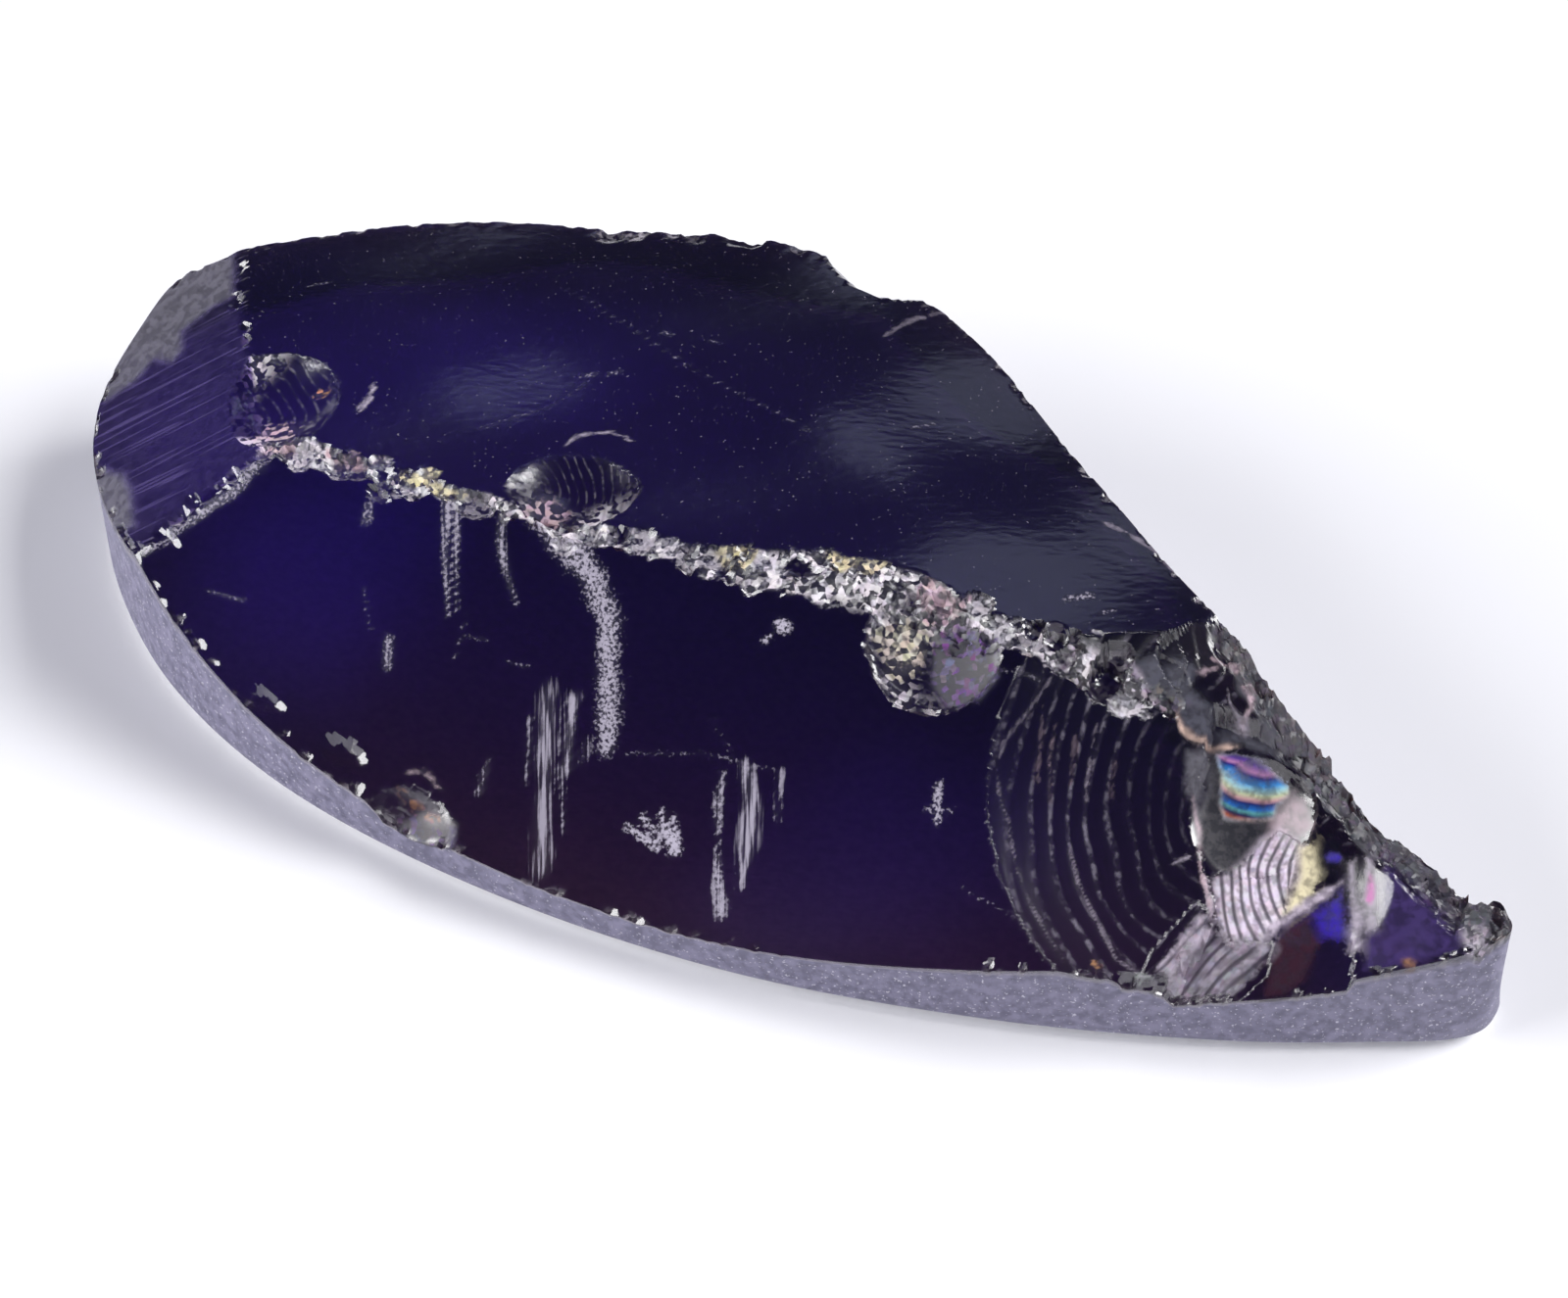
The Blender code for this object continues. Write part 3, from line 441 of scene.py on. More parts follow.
class Surface:
    """The stone's upper side over plan points: its height, and the finish of the break that is
    lowest at each point."""

    FINISHES = ("frost", "streaky", "matt", "crumb", "toned", "lens", "ripple", "saw", "glow",
                "ribbed", "phase", "film")

    def __init__(self, x, y):
        self.x, self.y = x, y
        self.z = np.full(x.shape, np.inf)
        self.finish = {name: np.zeros(x.shape) for name in self.FINISHES}
        self.tone = np.zeros(x.shape + (3,))

    def cut(self, height, **finish):
        """Takes away all above a height. Finishes not given are those of clean crystal."""
        lower = height < self.z
        self.z = np.where(lower, height, self.z)
        for name, values in self.finish.items():
            self.finish[name] = np.where(lower, finish.get(name, 0.0), values)
        self.tone = np.where(lower[..., None], 0.0, self.tone)

    def add(self, name, amount):
        self.finish[name] = np.maximum(self.finish[name], amount)

    def paint(self, colour, frost, matt, edge, soft=0.12, within=1.0, ribs=0.0):
        """Covers the surface with a milky colour where the signed distance is below nought.

        The edge is blended over the soft width, and ribs are kept in the share that is given."""
        share = smoothstep(soft, -soft, edge) * within
        bare = (self.finish["toned"] < 0.01) & (edge < TONE_REACH)
        mixed = self.tone * (1 - share[..., None]) + np.array(colour) * share[..., None]
        self.tone = np.where(bare[..., None], np.array(colour), mixed)
        for name, value in (("frost", frost), ("matt", matt), ("toned", 1.0)):
            self.finish[name] = self.finish[name] * (1 - share) + value * share
        self.finish["ribbed"] = self.finish["ribbed"] * (1 - share * (1 - ribs))

    def scoop(self, foot, axis, rim, rise, spacing, height, struck, **finish):
        """A tilted bowl: along its axis the height is rise * (r / rim)^2, less a rib wherever the
        plan distance from the struck point is a multiple of the spacing. The height over each
        plan point is found by stepping towards the bowl."""
        axis = np.array(axis) / np.linalg.norm(axis)
        near = np.hypot(self.x - foot[0], self.y - foot[1]) < 1.5 * rim
        x, y = self.x[near] - foot[0], self.y[near] - foot[1]
        z, phase, ribs = np.zeros(x.shape), np.zeros(x.shape), np.zeros(x.shape)
        if spacing:
            reach = np.hypot(x + foot[0] - struck[0], y + foot[1] - struck[1])
            turn = noise(x + 40, y + 40, 0.9 * rim, 5)
            phase = reach / spacing * (1 + 0.10 * turn) + 0.35 * noise(x, y, 2.2 * spacing, 7)
            ribs = height * (1 + turn) * np.exp(-(((phase - np.round(phase)) / 0.2) ** 2))
        for _ in range(SCOOP_TURNS):
            along = x * axis[0] + y * axis[1] + z * axis[2]
            r = np.sqrt(np.clip(x * x + y * y + z * z - along * along, 0, (1.3 * rim) ** 2))
            bowl = rise * (r / rim) ** 2 + 5.0 * np.maximum(r - rim, 0) - ribs
            z = z - 0.5 * (along - bowl) / axis[2]
        full = np.full(self.x.shape, np.inf)
        full[near] = z + foot[2]
        full = np.nan_to_num(full, nan=np.inf)
        share = np.zeros(self.x.shape)
        share[near] = np.clip(phase / MOST_RIBS, 0, 1)
        strength = np.clip(rim / 6, 0.6, 1) * (0.65 + 0.5 * noise(self.x, self.y, 2.4, 68))
        self.cut(full, phase=share, ribbed=np.where(share > 0, strength, 0.0), **finish)

    def bite(self, centre, half_axes, turn, **finish):
        """A shell-shaped chip: the lower half of an ellipsoid that is turned in plan."""
        cos, sin = np.cos(turn), np.sin(turn)
        x, y = self.x - centre[0], self.y - centre[1]
        u, v = (x * cos + y * sin) / half_axes[0], (y * cos - x * sin) / half_axes[1]
        r = np.hypot(u, v)
        ribs = 0.05 * np.sin(22 * r + 3 * u)
        height = centre[2] - half_axes[2] * (np.sqrt(np.clip(1 - r * r, 0, 1)) + ribs)
        self.cut(np.where(r < 1, height, np.inf), **finish)


def bites_along(surface, path, count, sizes, spread, frost, seed):
    """A row of random chips along an edge, each sunk from the height that is there."""
    rng = np.random.default_rng(seed)
    flat = surface.x.ravel(), surface.y.ravel(), surface.z.ravel()
    for place in on_path(path, np.sort(rng.uniform(0, 1, count))):
        x, y = place + rng.normal(0, spread, 2)
        size = sizes[0] + (sizes[1] - sizes[0]) * rng.uniform() ** 2
        nearest = np.argmin((flat[0] - x) ** 2 + (flat[1] - y) ** 2)
        axes = size * np.array([rng.uniform(0.7, 1.3), rng.uniform(0.6, 1.0), 0.45])
        level = flat[2][nearest] + axes[2] * rng.uniform(-0.1, 0.5)
        surface.bite((x, y, level), axes, rng.uniform(0, np.pi), matt=0.2,
                     frost=frost * rng.uniform(0.0, 1.0), crumb=0.6)


def ridge_y(x):
    """Where the back face and the front facet meet."""
    y = (0.15 * x - 2.0) / RIDGE_SLOPE
    for _ in range(4):
        gap = height_on(BACK_FACE, x, y) + swell_at(x, y) - height_on(FRONT_FACET, x, y)
        y = y + gap / RIDGE_SLOPE
    return y


def upper_side(x, y):
    """The stone's top with every break in it. Faces and breaks are taken from it in turn."""
    top = Surface(x, y)
    top.cut(height_on(BACK_FACE, x, y) + swell_at(x, y), ripple=1.0)
    top.cut(height_on(FRONT_FACET, x, y))
    top.cut(height_on(LEFT_FACET, x, y), saw=1.0)

    ragged = 0.22 * noise(x, y, 0.9, 21) + 0.10 * shards(x, y, 0.5, 22)
    end = outside(x, y, END_STEP) + ragged
    wall = STEP_WALL * (0.15 + 0.85 * smoothstep(-8.0, -5.5, y))
    top.cut(height_on(END_FACET, x, y) + wall * np.maximum(end, 0)
            + 0.05 * noise(x, y, 1.2, 23), matt=0.1)
    upper = outside(x, y, UPPER_STEP) + ragged
    plates = 0.16 * np.floor(2.2 * noise(x, y, 2.3, 24) + 1.5) + 0.08 * shards(x, y, 0.8, 25)
    top.cut(height_on(UPPER_STEP_FACE, x, y) + STEP_WALL * np.maximum(upper, 0) + plates,
            matt=0.6, frost=0.10)
    window = outside(x, y, WINDOW_NOTCH)
    top.cut(height_on(WINDOW_FACE, x, y) + STEP_WALL * np.maximum(window, 0), matt=0.0)
    for name, sizes in SCOOPS.items():
        if "shell" in name:
            foot, rim = sizes[0], sizes[2]
            near_rim = smoothstep(0.45, 1.0, np.hypot(x - foot[0], y - foot[1]) / rim)
            crushed = np.clip(near_rim * (0.35 + 0.9 * noise(x, y, 0.8, 70)), 0, 1)
            top.scoop(*sizes, matt=0.35, frost=0.85 * crushed, crumb=1.0)
        else:
            top.scoop(*sizes, matt=0.4 if name == "ribbed_scoop" else 0.0)
    for centre, half_axes in CHIPS:
        top.bite(centre, half_axes, 0.0, frost=0.06, matt=0.15)

    line = np.linspace(*RIDGE_SPAN, 60)
    ridge = np.column_stack([line, ridge_y(line)])
    away, share = away_from(x, y, ridge)
    extra, middle, spread = RIDGE_BULGE
    bulge = extra * np.exp(-(((share - middle) / spread) ** 2))
    width = RIDGE_WIDTH + bulge + 0.20 * noise(x, y, 1.6, 31)
    teeth = 0.16 * noise(x, y, 0.4, 38) + 0.14 * shards(x, y, 0.45, 39)
    crushed = smoothstep(1.15, 0.75, (away + teeth) / np.maximum(width, 0.15))
    broken = 0.22 + 0.30 * shards(x, y, 0.55, 32) + 0.14 * shards(x, y, 0.28, 33)
    top.z = top.z - crushed * np.maximum(broken, -0.02)
    top.add("frost", crushed * (0.75 + 0.5 * noise(x, y, 0.35, 34)))
    top.add("crumb", crushed)
    top.add("matt", crushed * 0.3)
    bites_along(top, ridge, 90, (0.2, 0.8), 0.35, 0.9, 41)
    for edge, seed in ((LEFT_BACK_EDGE, 42), (LEFT_FRONT_EDGE, 43), (TOP_BREAKS, 44)):
        bites_along(top, edge, 18, (0.15, 0.55), 0.12, 0.7, seed)
    away, _ = away_from(x, y, STRIP)
    strip = smoothstep(1.1, 0.6, away)
    rubble = 0.25 + 0.35 * shards(x, y, 0.7, 35) + 0.15 * shards(x, y, 0.33, 36)
    top.z = top.z - strip * np.maximum(rubble, 0)
    top.paint(GREY, 0.60, 0.8, away - 0.85 + 0.3 * noise(x, y, 0.8, 37))
    top.add("crumb", 0.5 * strip)
    add_marks(top)
    return top


def add_marks(top):
    """Frosted strokes and patches on the faces, and the painted glow, a brighter tint standing in
    for light shining through the crystal.
    """
    x, y = top.x, top.y
    for strength, streaky, stroke in STROKES:
        stroke = np.array(stroke)
        away, share = away_from(x, y, stroke[:, :2])
        width = np.interp(share, np.linspace(0, 1, len(stroke)), stroke[:, 2])
        wander = 1 + 0.25 * noise(x, y, 0.5, 61)
        mark = strength * smoothstep(0.60 * width + 0.10, 0.15 * width, away * wander)
        top.finish["streaky"] = np.where(mark > top.finish["frost"], streaky, top.finish["streaky"])
        top.add("frost", mark)
    paint_patches(top)
    on_left = height_on(LEFT_FACET, x, y) < top.z + 0.1
    for outline, strength in ((FROSTED_CORNER, 0.55), (CHIPPED_CORNER, 0.6)):
        top.paint(GREEN_GREY, strength, 0.5, outside(x, y, outline), RAGGED_EDGE, within=on_left)
    on_back = height_on(BACK_FACE, x, y) + swell_at(x, y) < top.z + 0.1
    # Painted glow round each centre and over the whole back face: a brighter tint standing in for
    # light shining through.
    for cx, cy, rx, ry, strength in PAINTED_GLOWS:
        u, v = turned(x, y, (cx, cy))
        away = np.hypot(u / rx, v / ry) + 0.12 * noise(x, y, 2.5, 63)
        top.add("glow", strength * smoothstep(1.4, 0.2, away))
    top.add("glow", 0.3 * on_back)
    top.add("matt", 0.42 * on_back)


def paint_patches(top):
    """The coloured shells, cracks and lines of the broken parts, with painted glints and painted
    shade among them.
    """
    x, y = top.x, top.y
    for colour, frost, matt, ribs, outline in PATCHES:
        top.paint(colour, frost, matt, outside(x, y, outline), RAGGED_EDGE, ribs=ribs)
    for struck, spacing, outline in RIBBED_PATCHES:
        inside = outside(x, y, outline) < 0
        reach = np.hypot(x - struck[0], y - struck[1]) / spacing + 0.3 * noise(x, y, 1.1, 69)
        phase = np.clip(reach / MOST_RIBS, 0, 1)
        top.finish["phase"] = np.where(inside, phase, top.finish["phase"])
        top.finish["ribbed"] = np.where(inside, 1.0, top.finish["ribbed"])
    for line in HAIRLINES:
        away, _ = away_from(x, y, line)
        top.add("frost", HAIRLINE_FROST * smoothstep(HAIRLINE_EDGE, HAIRLINE_CORE, away))
    for colour, frost, width, line in LINES:
        away, share = away_from(x, y, line)
        broken = smoothstep(0.0, 0.15, share) * smoothstep(1.0, 0.85, share)
        width = width * (0.25 + 0.75 * broken) * (1 + 0.6 * noise(x, y, 0.35, 65))
        top.paint(colour, frost, 0.4, away - 0.5 * width)
    crumb = top.finish["crumb"]
    for colour, frost, cx, cy, radius in CRUMBS:
        away = np.hypot(x - cx, y - cy) - radius * (1 + 0.3 * noise(x, y, 0.5, 66))
        top.paint(colour, frost, 0.3, away, RAGGED_EDGE, within=crumb)
    u, v = turned(x, y, LENS_TURNS_ABOUT)
    reach = np.hypot(u, 2.0 * v) + 0.12 * noise(x, y, 0.7, 67)
    edge = outside(x, y, LENS)
    top.paint((1, 1, 1), 0.9, 0.1, edge)
    top.add("lens", smoothstep(0.12, -0.12, edge))
    top.add("film", np.clip((reach - LENS_RADII[0]) / (LENS_RADII[1] - LENS_RADII[0]), 0, 1))


def border_bites(top, ring, seed):
    """Fine chips where the facets meet the ground skin."""
    bites_along(top, ring, 150, (0.10, 0.34), 0.08, 0.35, seed)


def wall_rings():
    """The base outline's front and back paths from the left end to the tip: x, y, lean, and the
    inward direction in x and y."""
    ring = smooth_ring(OUTLINE, SPAN_STEPS)
    along = np.roll(ring, -1, 0)[:, :2] - np.roll(ring, 1, 0)[:, :2]
    inward = np.stack([-along[:, 1], along[:, 0]], axis=1)
    inward /= np.linalg.norm(inward, axis=1, keepdims=True)
    ring = np.column_stack([ring, inward])
    tip = TIP * SPAN_STEPS
    return ring[: tip + 1], np.vstack([ring[:1], ring[tip:][::-1]])


def plan_at(ring, height):
    """The wall's plan points at a height, with the broad breaks low on the back wall."""
    lean = np.minimum(ring[:, 2] * height, MOST_LEAN)
    plan = ring[:, :2] + ring[:, 3:] * lean[:, None]
    for (cx, cy, cz), radius in BACK_BREAKS:
        dx, dy, dz = plan[:, 0] - cx, plan[:, 1] - cy, height - cz
        toward = dx * ring[:, 3] + dy * ring[:, 4]
        beyond = toward**2 - (dx * dx + dy * dy + dz * dz - radius**2)
        reach = np.sqrt(np.maximum(beyond, 0)) - toward
        inside = dx * dx + dy * dy + dz * dz < radius**2
        plan = plan + ring[:, 3:] * np.where(inside, reach, 0)[:, None]
    return plan


def stations():
    """Shares of the length, closer together over the fractured end."""
    share = np.linspace(0, 1, 2001)
    density = 1 + 0.7 * smoothstep(0.62, 0.70, share)
    at = np.concatenate([[0], np.cumsum(density[1:] + density[:-1])])
    return np.interp(np.linspace(0, at[-1], ALONG), at, share)


def stone_grid():
    """The whole stone as one grid: along it by the stations, and round it from the front border
    over the ridge to the back border, down the back wall, under the base and up the front wall.
    Returns the points in mm, with shape (along, round, 3), and the finishes at each."""
    share = stations()
    front, back = (on_path(path, share) for path in wall_rings())
    spine = on_path(SPINE, share)
    between = (spine[:, 0] > -20.2) & (spine[:, 0] < 16.6)
    spine[between, 1] = ridge_y(spine[between, 0])
    heights = {}
    for name, ring in (("front", front), ("back", back)):
        height = np.full(len(ring), LEVELS[1])
        for _ in range(6):
            plan = plan_at(ring, height)
            height = np.clip(upper_side(plan[:, 0], plan[:, 1]).z, LEVELS[0], LEVELS[2])
        heights[name] = height
    low, high = plan_at(front, heights["front"]), plan_at(back, heights["back"])

    t = np.linspace(0, 1, ACROSS)
    closer = (t + 0.10 * np.sin(np.pi * t))[None, :, None]
    first = low[:, None] * (1 - closer) + spine[:, None] * closer
    second = spine[:, None] * closer[:, ::-1] + high[:, None] * (1 - closer[:, ::-1])
    plan = np.concatenate([first, second[:, 1:]], axis=1)
    top = upper_side(plan[..., 0], plan[..., 1])
    border_bites(top, low[8:-4], 51)
    border_bites(top, high[8:-4], 52)
    top.z = np.clip(top.z, LEVELS[0], LEVELS[2])
    upper = np.dstack([plan, top.z])

    def wall(ring, height):
        rows = []
        for k in range(1, WALL_ROWS + 1):
            level = height + (BASE_ROUNDING - height) * k / WALL_ROWS
            rows.append(np.column_stack([plan_at(ring, level), level]))
        foot = rows[-1]
        for k in range(1, ROUND_ROWS + 1):
            turn = 0.5 * np.pi * k / ROUND_ROWS
            inward = BASE_ROUNDING * (1 - np.cos(turn))
            level = BASE_ROUNDING * (1 - np.sin(turn))
            rows.append(np.column_stack([foot[:, :2] + ring[:, 3:] * inward,
                                         np.full(len(ring), level)]))
        return np.stack(rows, axis=1)

    down, up = wall(back, top.z[:, -1]), wall(front, top.z[:, 0])[:, ::-1]
    points = np.concatenate([upper, down, up], axis=1)
    skin = np.zeros(points.shape[:2])
    skin[:, upper.shape[1]:] = 1.0
    finish = {name: np.concatenate([values, np.zeros(skin[:, upper.shape[1]:].shape)], axis=1)
              for name, values in top.finish.items()}
    finish["tone"] = np.concatenate([top.tone, np.zeros(skin[:, upper.shape[1]:].shape + (3,))],
                                    axis=1)
    finish["skin"] = skin
    finish["base"] = np.where(points[..., 2] < 0.3, skin, 0.0)
    return points, finish


def welded(points, finish):
    """Mesh data of a grid that is closed round its second axis and pinched shut at both ends."""
    rows, columns = points.shape[:2]
    index = np.arange(rows * columns).reshape(rows, columns)
    beside = np.roll(index, -1, axis=1)
    quads = np.stack([index[:-1], index[1:], beside[1:], beside[:-1]], axis=-1).reshape(-1, 4)
    flat = points.reshape(-1, 3)
    _, first, same = np.unique(np.round(flat, 4), axis=0, return_index=True, return_inverse=True)
    faces = []
    for quad in same.reshape(-1)[quads].tolist():
        kept = [c for k, c in enumerate(quad) if c != quad[k - 1]]
        if len(set(kept)) > 2:
            faces.append(kept)
    kept = {name: values.reshape(len(flat), -1)[first] for name, values in finish.items()}
    return flat[first], faces, kept


def add_mesh(name, points, faces, finish):
    mesh = bpy.data.meshes.new(name)
    mesh.from_pydata((points * MM).tolist(), [], faces)
    for key, values in finish.items():
        kind, field = ("FLOAT", "value") if values.shape[1] == 1 else ("FLOAT_VECTOR", "vector")
        layer = mesh.attributes.new(key, kind, "POINT")
        layer.data.foreach_set(field, np.clip(values, 0, 1).astype(np.float32).ravel())
    mesh.shade_smooth()
    mesh.set_sharp_from_angle(angle=SHARP_ANGLE)
    mesh.update()
    obj = bpy.data.objects.new(name, mesh)
    bpy.context.scene.collection.objects.link(obj)
    return obj


class Num:
    """A number in a shader. Python's operators on it build the maths nodes."""

    def __init__(self, nodes, socket):
        self.nodes, self.socket = nodes, socket

    def math(self, operation, *others):
        return self.nodes.math(operation, self, *others)

    def __add__(self, other):
        return self.math("ADD", other)

    def __sub__(self, other):
        return self.math("SUBTRACT", other)

    def __mul__(self, other):
        return self.math("MULTIPLY", other)

    def __rsub__(self, other):
        return self.nodes.math("SUBTRACT", other, self)

    __radd__ = __add__
    __rmul__ = __mul__

    def clipped(self):
        return self.math("MINIMUM", 1.0).math("MAXIMUM", 0.0)


class Nodes:
    """Builds one material's node tree."""

    def __init__(self, material):
        material.use_nodes = True
        self.tree = material.node_tree
        self.tree.nodes.clear()

    def add(self, kind, sockets=None, **settings):
        """A node with its settings, and its input sockets by name or number as values or links."""
        node = self.tree.nodes.new(kind)
        for key, value in settings.items():
            setattr(node, key, value)
        for key, value in (sockets or {}).items():
            self.put(node.inputs[key], value)
        return node

    def put(self, socket, value):
        value = value.socket if isinstance(value, Num) else value
        if isinstance(value, bpy.types.NodeSocket):
            self.tree.links.new(value, socket)
        else:
            socket.default_value = value

    def math(self, operation, *values):
        node = self.add("ShaderNodeMath", dict(enumerate(values)), operation=operation)
        return Num(self, node.outputs[0])

    def attribute(self, name):
        node = self.add("ShaderNodeAttribute", attribute_name=name, attribute_type="GEOMETRY")
        return Num(self, node.outputs["Fac"])

    def tone(self, name):
        node = self.add("ShaderNodeAttribute", attribute_name=name, attribute_type="GEOMETRY")
        return node.outputs["Color"]

    def stops(self, value, colours):
        """A colour that runs through the given stops as the value grows."""
        node = self.add("ShaderNodeValToRGB", {"Fac": value})
        ramp = node.color_ramp
        while len(ramp.elements) < len(colours):
            ramp.elements.new(0.5)
        for element, (share, colour) in zip(ramp.elements, colours):
            element.position = share
            element.color = (*colour, 1.0)
        return node.outputs["Color"]

    def cells(self, where, scale):
        """Small random cells: a value and a colour of each."""
        node = self.add("ShaderNodeTexVoronoi", {"Vector": where, "Scale": scale})
        return self.split(node.outputs["Color"])[0], node.outputs["Color"]

    def place(self, grain=None, stretch=1.0):
        """Object coordinates. With the angle of a grain in plan, they are turned so that the
        grain runs along x, where it is stretched, and made flat."""
        where = self.add("ShaderNodeTexCoord").outputs["Object"]
        if grain is None:
            return where
        node = self.add("ShaderNodeVectorRotate", {"Vector": where, "Angle": -grain},
                        rotation_type="Z_AXIS")
        node = self.add("ShaderNodeVectorMath", {0: node.outputs[0], 1: (1 / stretch, 1, 0)},
                        operation="MULTIPLY")
        return node.outputs[0]

    def split(self, vector):
        node = self.add("ShaderNodeSeparateXYZ", {0: vector})
        return [Num(self, socket) for socket in node.outputs]

    def noise(self, where, scale, detail=1.0, roughness=0.6, flat=False):
        node = self.add("ShaderNodeTexNoise", noise_dimensions="2D" if flat else "3D")
        for name, value in (("Vector", where), ("Scale", scale), ("Detail", detail),
                            ("Roughness", roughness)):
            self.put(node.inputs[name], value)
        return Num(self, node.outputs["Fac"])

    def ramp(self, value, low, high, out_low=0.0, out_high=1.0):
        node = self.add("ShaderNodeMapRange", {"Value": value, "From Min": low, "From Max": high,
                                               "To Min": out_low, "To Max": out_high},
                        interpolation_type="SMOOTHSTEP")
        return Num(self, node.outputs["Result"])

    def mix(self, factor, a, b):
        node = self.add("ShaderNodeMix", {"Factor": factor}, data_type="RGBA")
        self.put(node.inputs[6], a)
        self.put(node.inputs[7], b)
        return node.outputs[2]


def crystal_material(settings):
    """Clear violet crystal, mixed with a milky surface where it is crushed, painted or ground.

    The share of the milky surface is the frost of the mesh, broken up by grain, streaks, crumbs
    or patches, less the gaps between ribs, and never less than painted highlights on rib crests,
    scratches and specks."""
    material = bpy.data.materials.new("violet_crystal")
    n = Nodes(material)
    frost, skin, matt = n.attribute("frost"), n.attribute("skin"), n.attribute("matt")
    streaky, glow, base = n.attribute("streaky"), n.attribute("glow"), n.attribute("base")
    crumb, toned, lens = n.attribute("crumb"), n.attribute("toned"), n.attribute("lens")
    ripple, saw, ribbed = n.attribute("ripple"), n.attribute("saw"), n.attribute("ribbed")
    fine = n.noise(n.place(), FINE_SCALE)
    coarse = n.noise(n.place(), COARSE_SCALE, 2.0, 0.65)
    streaks = n.noise(n.place(STREAK_TURN, STREAK_STRETCH), STREAK_SCALE, flat=True)
    ripples = n.noise(n.place(RIPPLE_TURN, RIPPLE_STRETCH), RIPPLE_SCALE, flat=True)
    scratches = n.noise(n.place(SAW_TURN, SAW_STRETCH), SAW_SCALE, flat=True)
    cell, tints = n.cells(n.place(), CELL_SCALE)

    grain = fine + (streaks - fine) * streaky
    rough = n.ramp(frost + (grain - 0.5) * 2.4, 0.35, 0.95, 0.0, 1.1)
    patch = n.ramp(toned + (coarse - 0.5) * 2.0, 0.30, 0.60)
    smooth = patch * n.ramp(coarse, 0.36, 0.62, 0.50, 1.10)
    crushed = n.ramp(cell + (coarse - 0.5) * 1.2, 0.36, 0.80, 0.02, 1.3)
    covered = rough + (smooth - rough) * toned
    ground = (frost * (covered + (crushed - covered) * crumb)).clipped()
    # Rib crests: milky paint is kept off the gaps between ribs, and a painted highlight runs along
    # each crest, standing in for light caught on the ribs.
    crest = 1.0 - (n.attribute("phase") * MOST_RIBS).math("PINGPONG", 0.5) * 2.0
    ground = ground * (1.0 - ribbed * n.ramp(crest, 0.65, 0.10) * 0.8)
    rib_highlight = ribbed * n.ramp(crest, 0.60, 0.98) * n.ramp(coarse, 0.42, 0.68, 0.02, 0.34)
    ground = ground.math("MAXIMUM", rib_highlight)
    ground = ground.math("MAXIMUM", saw * n.ramp(scratches, 0.56, 0.72, 0.0, 0.24))
    ground = ground.math("MAXIMUM", ripple * n.ramp(fine, 0.71, 0.79, 0.0, 0.35))
    scatter = ground.math("MAXIMUM", skin * n.ramp(coarse, 0.25, 0.75, 0.85, 1.0))
    roughness = (matt * 0.36 + skin * 0.45 + frost * 0.3 + settings.polish).clipped()
    relief = ripples * (ripple * 0.65 + skin * 1.5) + crest * ribbed * 0.35
    bump = n.add("ShaderNodeBump", {"Strength": BUMP_STRENGTH, "Distance": BUMP_DEPTH,
                                    "Height": relief})
    # Painted glow: the tint runs from the dark tint to the bright one where light shining through
    # the crystal is painted in.
    tint = n.mix(glow, (*settings.dark_colour, 1.0), (*settings.clear_colour, 1.0))
    clear = n.add("ShaderNodeBsdfPrincipled", {
        "Base Color": tint, "Roughness": roughness,
        "IOR": settings.index, "Transmission Weight": 1.0, "Normal": bump.outputs[0]})
    white = n.mix(crumb, (*settings.frost_colour, 1.0), (*settings.crumb_colour, 1.0))
    painted = n.mix(lens, n.tone("tone"), n.stops(n.attribute("film"), RAINBOW))
    colour = n.mix(n.ramp(toned, 0.0, 0.3), white, painted)
    colour = n.mix((toned * ribbed + crumb) * 0.08, colour, tints)
    skin_tone = n.mix(n.ramp(coarse, 0.3, 0.7), (*settings.skin_colour, 1.0),
                      (*settings.pale_skin_colour, 1.0))
    skin_tone = n.mix(n.ramp(fine, 0.64, 0.74), skin_tone, (*settings.speck_colour, 1.0))
    colour = n.mix(skin, colour, skin_tone)
    colour = n.mix(base, colour, (*settings.base_colour, 1.0))
    milky = n.add("ShaderNodeBsdfPrincipled", {
        "Base Color": colour, "Roughness": roughness, "IOR": MILK_INDEX,
        "Normal": bump.outputs[0]})
    both = n.add("ShaderNodeMixShader", {0: scatter, 1: clear.outputs[0], 2: milky.outputs[0]})
    inside = n.add("ShaderNodeVolumeAbsorption", {
        "Color": (*settings.body_colour, 1.0), "Density": settings.body_density})
    out = n.add("ShaderNodeOutputMaterial")
    n.put(out.inputs["Surface"], both.outputs[0])
    n.put(out.inputs["Volume"], inside.outputs[0])
    return material


def plain_material(name, colour, roughness):
    material = bpy.data.materials.new(name)
    n = Nodes(material)
    shader = n.add("ShaderNodeBsdfPrincipled", {"Base Color": (*colour, 1.0),
                                                "Roughness": roughness})
    out = n.add("ShaderNodeOutputMaterial")
    n.put(out.inputs["Surface"], shader.outputs[0])
    return material


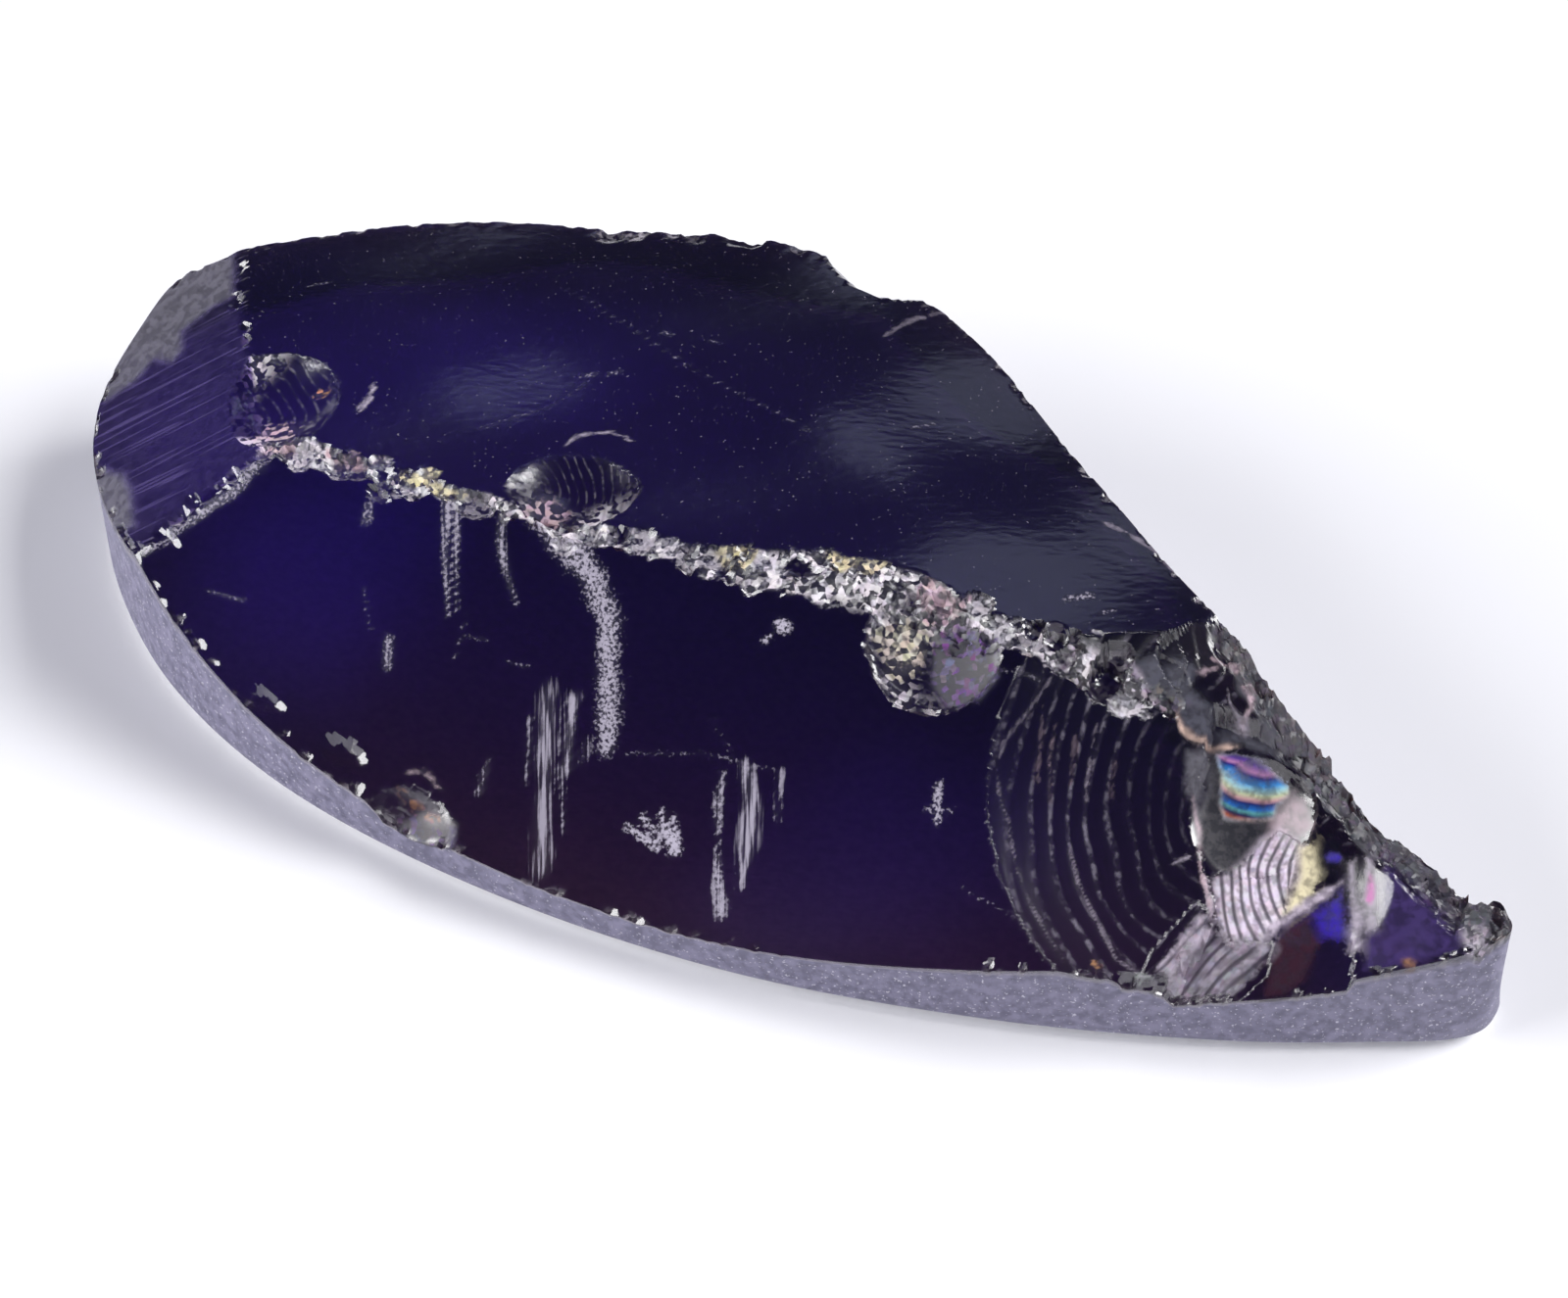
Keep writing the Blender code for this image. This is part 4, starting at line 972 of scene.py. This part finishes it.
class ZirconSettings(bpy.types.PropertyGroup):
    index: bpy.props.FloatProperty(
        name="Refractive index", description="How strongly the crystal bends light",
        default=1.95, min=1.0, max=3.0)
    polish: bpy.props.FloatProperty(
        name="Polish", description="Roughness of the clean faces", default=0.05, min=0, max=1)
    # The bright and dark tints are the two ends of the painted glow.
    clear_colour: bpy.props.FloatVectorProperty(
        name="Bright tint", description="Tint of light where the body colour is bright",
        subtype="COLOR", size=3, default=(0.95, 0.9, 1.0), min=0, max=1)
    dark_colour: bpy.props.FloatVectorProperty(
        name="Dark tint", description="Tint of light where the body colour is dark",
        subtype="COLOR", size=3, default=(0.42, 0.22, 0.20), min=0, max=1)
    body_colour: bpy.props.FloatVectorProperty(
        name="Body colour", description="Colour that the crystal lets through",
        subtype="COLOR", size=3, default=(0.32, 0.08, 0.75), min=0, max=1)
    body_density: bpy.props.FloatProperty(
        name="Body density", description="How soon the crystal takes light away, per metre",
        default=200.0, min=0)
    frost_colour: bpy.props.FloatVectorProperty(
        name="Crushed colour", description="Colour of crushed edges", subtype="COLOR", size=3,
        default=(0.50, 0.46, 0.56), min=0, max=1)
    skin_colour: bpy.props.FloatVectorProperty(
        name="Skin colour", description="Colour of the ground skin", subtype="COLOR", size=3,
        default=(0.13, 0.125, 0.20), min=0, max=1)
    pale_skin_colour: bpy.props.FloatVectorProperty(
        name="Pale skin colour", description="Colour of the paler parts of the ground skin",
        subtype="COLOR", size=3, default=(0.24, 0.225, 0.33), min=0, max=1)
    speck_colour: bpy.props.FloatVectorProperty(
        name="Speck colour", description="Colour of the pale specks of the ground skin",
        subtype="COLOR", size=3, default=(0.55, 0.53, 0.62), min=0, max=1)
    crumb_colour: bpy.props.FloatVectorProperty(
        name="Crumb colour", description="Colour of the crumbs along the ridge", subtype="COLOR",
        size=3, default=(0.88, 0.84, 0.88), min=0, max=1)
    base_colour: bpy.props.FloatVectorProperty(
        name="Base colour", description="Colour of the ground base", subtype="COLOR", size=3,
        default=(0.85, 0.85, 0.88), min=0, max=1)


class StageSettings(bpy.types.PropertyGroup):
    floor_colour: bpy.props.FloatVectorProperty(
        name="Floor colour", description="Colour of the floor", subtype="COLOR", size=3,
        default=(0.95, 0.95, 0.97), min=0, max=1)
    floor_size: bpy.props.FloatProperty(
        name="Floor size", description="Side of the square floor", default=3.0, unit="LENGTH")
    azimuth: bpy.props.FloatProperty(
        name="Azimuth", description="Direction of the camera round the stone",
        default=np.radians(29.0), subtype="ANGLE")
    elevation: bpy.props.FloatProperty(
        name="Elevation", description="Height angle of the camera", default=np.radians(48.0),
        subtype="ANGLE")
    distance: bpy.props.FloatProperty(
        name="Distance", description="Camera's distance from the point that it looks at",
        default=0.157, unit="LENGTH")
    aim_height: bpy.props.FloatProperty(
        name="Aim height", description="Height of the point that the camera looks at",
        default=0.0044, unit="LENGTH")
    lens: bpy.props.FloatProperty(
        name="Lens", description="Focal length in millimetres", default=90.0)


class ZIRCON_OT_add_stone(bpy.types.Operator):
    """Add the zircon crystal"""

    bl_idname = "zircon.add_stone"
    bl_label = "Add Stone"
    bl_options = {"REGISTER", "UNDO"}

    def execute(self, context):
        points, faces, finish = welded(*stone_grid())
        stone = add_mesh("zircon", points, faces, finish)
        stone.data.materials.append(crystal_material(context.scene.zircon))
        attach(stone, "root")
        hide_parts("stone")
        return {"FINISHED"}


# Soft lights: name, place, size, power and colour.
LIGHTS = (
    ("key_light", (0.72, 0.46, 0.77), 0.7, 16.0, (1.0, 1.0, 1.0)),
    ("fill_light", (-0.95, -0.70, 0.50), 0.9, 18.0, (1.0, 1.0, 1.0)),
    ("side_light", (0.75, -0.75, 0.13), 0.3, 1.2, (1.0, 1.0, 1.0)),
    ("back_panel", (-0.22, 0.885, 0.926), 0.45, 0.34, (0.66, 0.72, 1.0)),
)
WORLD_COLOUR = (0.5, 0.5, 1.0)
WORLD_STRENGTH = 0.08


class ZIRCON_OT_add_stage(bpy.types.Operator):
    """Add the floor, the lights and the camera"""

    bl_idname = "zircon.add_stage"
    bl_label = "Add Stage"
    bl_options = {"REGISTER", "UNDO"}

    def execute(self, context):
        stage = context.scene.zircon_stage
        half = 0.5 * stage.floor_size
        mesh = bpy.data.meshes.new("floor")
        mesh.from_pydata([(-half, -half, 0), (half, -half, 0), (half, half, 0), (-half, half, 0)],
                         [], [(0, 1, 2, 3)])
        floor = bpy.data.objects.new("floor", mesh)
        context.scene.collection.objects.link(floor)
        floor.data.materials.append(plain_material("pale_floor", stage.floor_colour, 0.6))
        floor.location.z = -FLOOR_GAP
        context.scene.view_settings.view_transform = "Standard"
        for light in LIGHTS:
            add_light(*light)
        world = bpy.data.worlds.new("studio")
        world.use_nodes = True
        world.node_tree.nodes["Background"].inputs["Color"].default_value = (*WORLD_COLOUR, 1)
        world.node_tree.nodes["Background"].inputs["Strength"].default_value = WORLD_STRENGTH
        context.scene.world = world
        add_camera(stage)
        return {"FINISHED"}


def add_light(name, place, size, power, colour):
    """A square soft light that faces the stone."""
    light = bpy.data.lights.new(name, "AREA")
    light.size = size
    light.energy = power
    light.color = colour
    obj = bpy.data.objects.new(name, light)
    obj.location = place
    obj.rotation_mode = "XYZ"
    x, y, z = place
    obj.rotation_euler = (np.arctan2(np.hypot(x, y), z), 0, np.arctan2(x, -y))
    bpy.context.scene.collection.objects.link(obj)


def add_camera(stage):
    camera = bpy.data.cameras.new("camera")
    camera.lens = stage.lens
    camera.clip_start = 0.001
    obj = bpy.data.objects.new("camera", camera)
    level = stage.distance * np.cos(stage.elevation)
    obj.location = (level * np.sin(stage.azimuth), -level * np.cos(stage.azimuth),
                    stage.aim_height + stage.distance * np.sin(stage.elevation))
    obj.rotation_euler = (0.5 * np.pi - stage.elevation, 0, stage.azimuth)
    bpy.context.scene.collection.objects.link(obj)
    bpy.context.scene.camera = obj


class ZIRCON_PT_panel(bpy.types.Panel):
    bl_label = "Rough Zircon"
    bl_idname = "ZIRCON_PT_panel"
    bl_space_type = "VIEW_3D"
    bl_region_type = "UI"
    bl_category = "Rough Zircon"

    def draw(self, context):
        for settings, operator in ((context.scene.zircon, "zircon.add_stone"),
                                   (context.scene.zircon_stage, "zircon.add_stage")):
            for name in settings.__annotations__:
                self.layout.prop(settings, name)
            self.layout.operator(operator)


CLASSES = (ZirconSettings, StageSettings, ZIRCON_OT_add_stone, ZIRCON_OT_add_stage,
           ZIRCON_PT_panel)


def register():
    for cls in CLASSES:
        bpy.utils.register_class(cls)
    bpy.types.Scene.zircon = bpy.props.PointerProperty(type=ZirconSettings)
    bpy.types.Scene.zircon_stage = bpy.props.PointerProperty(type=StageSettings)


def unregister():
    del bpy.types.Scene.zircon
    del bpy.types.Scene.zircon_stage
    for cls in reversed(CLASSES):
        bpy.utils.unregister_class(cls)


def main():
    register()
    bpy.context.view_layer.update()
    bpy.ops.zircon.add_stone()
    bpy.ops.zircon.add_stage()


if __name__ == "__main__":
    main()
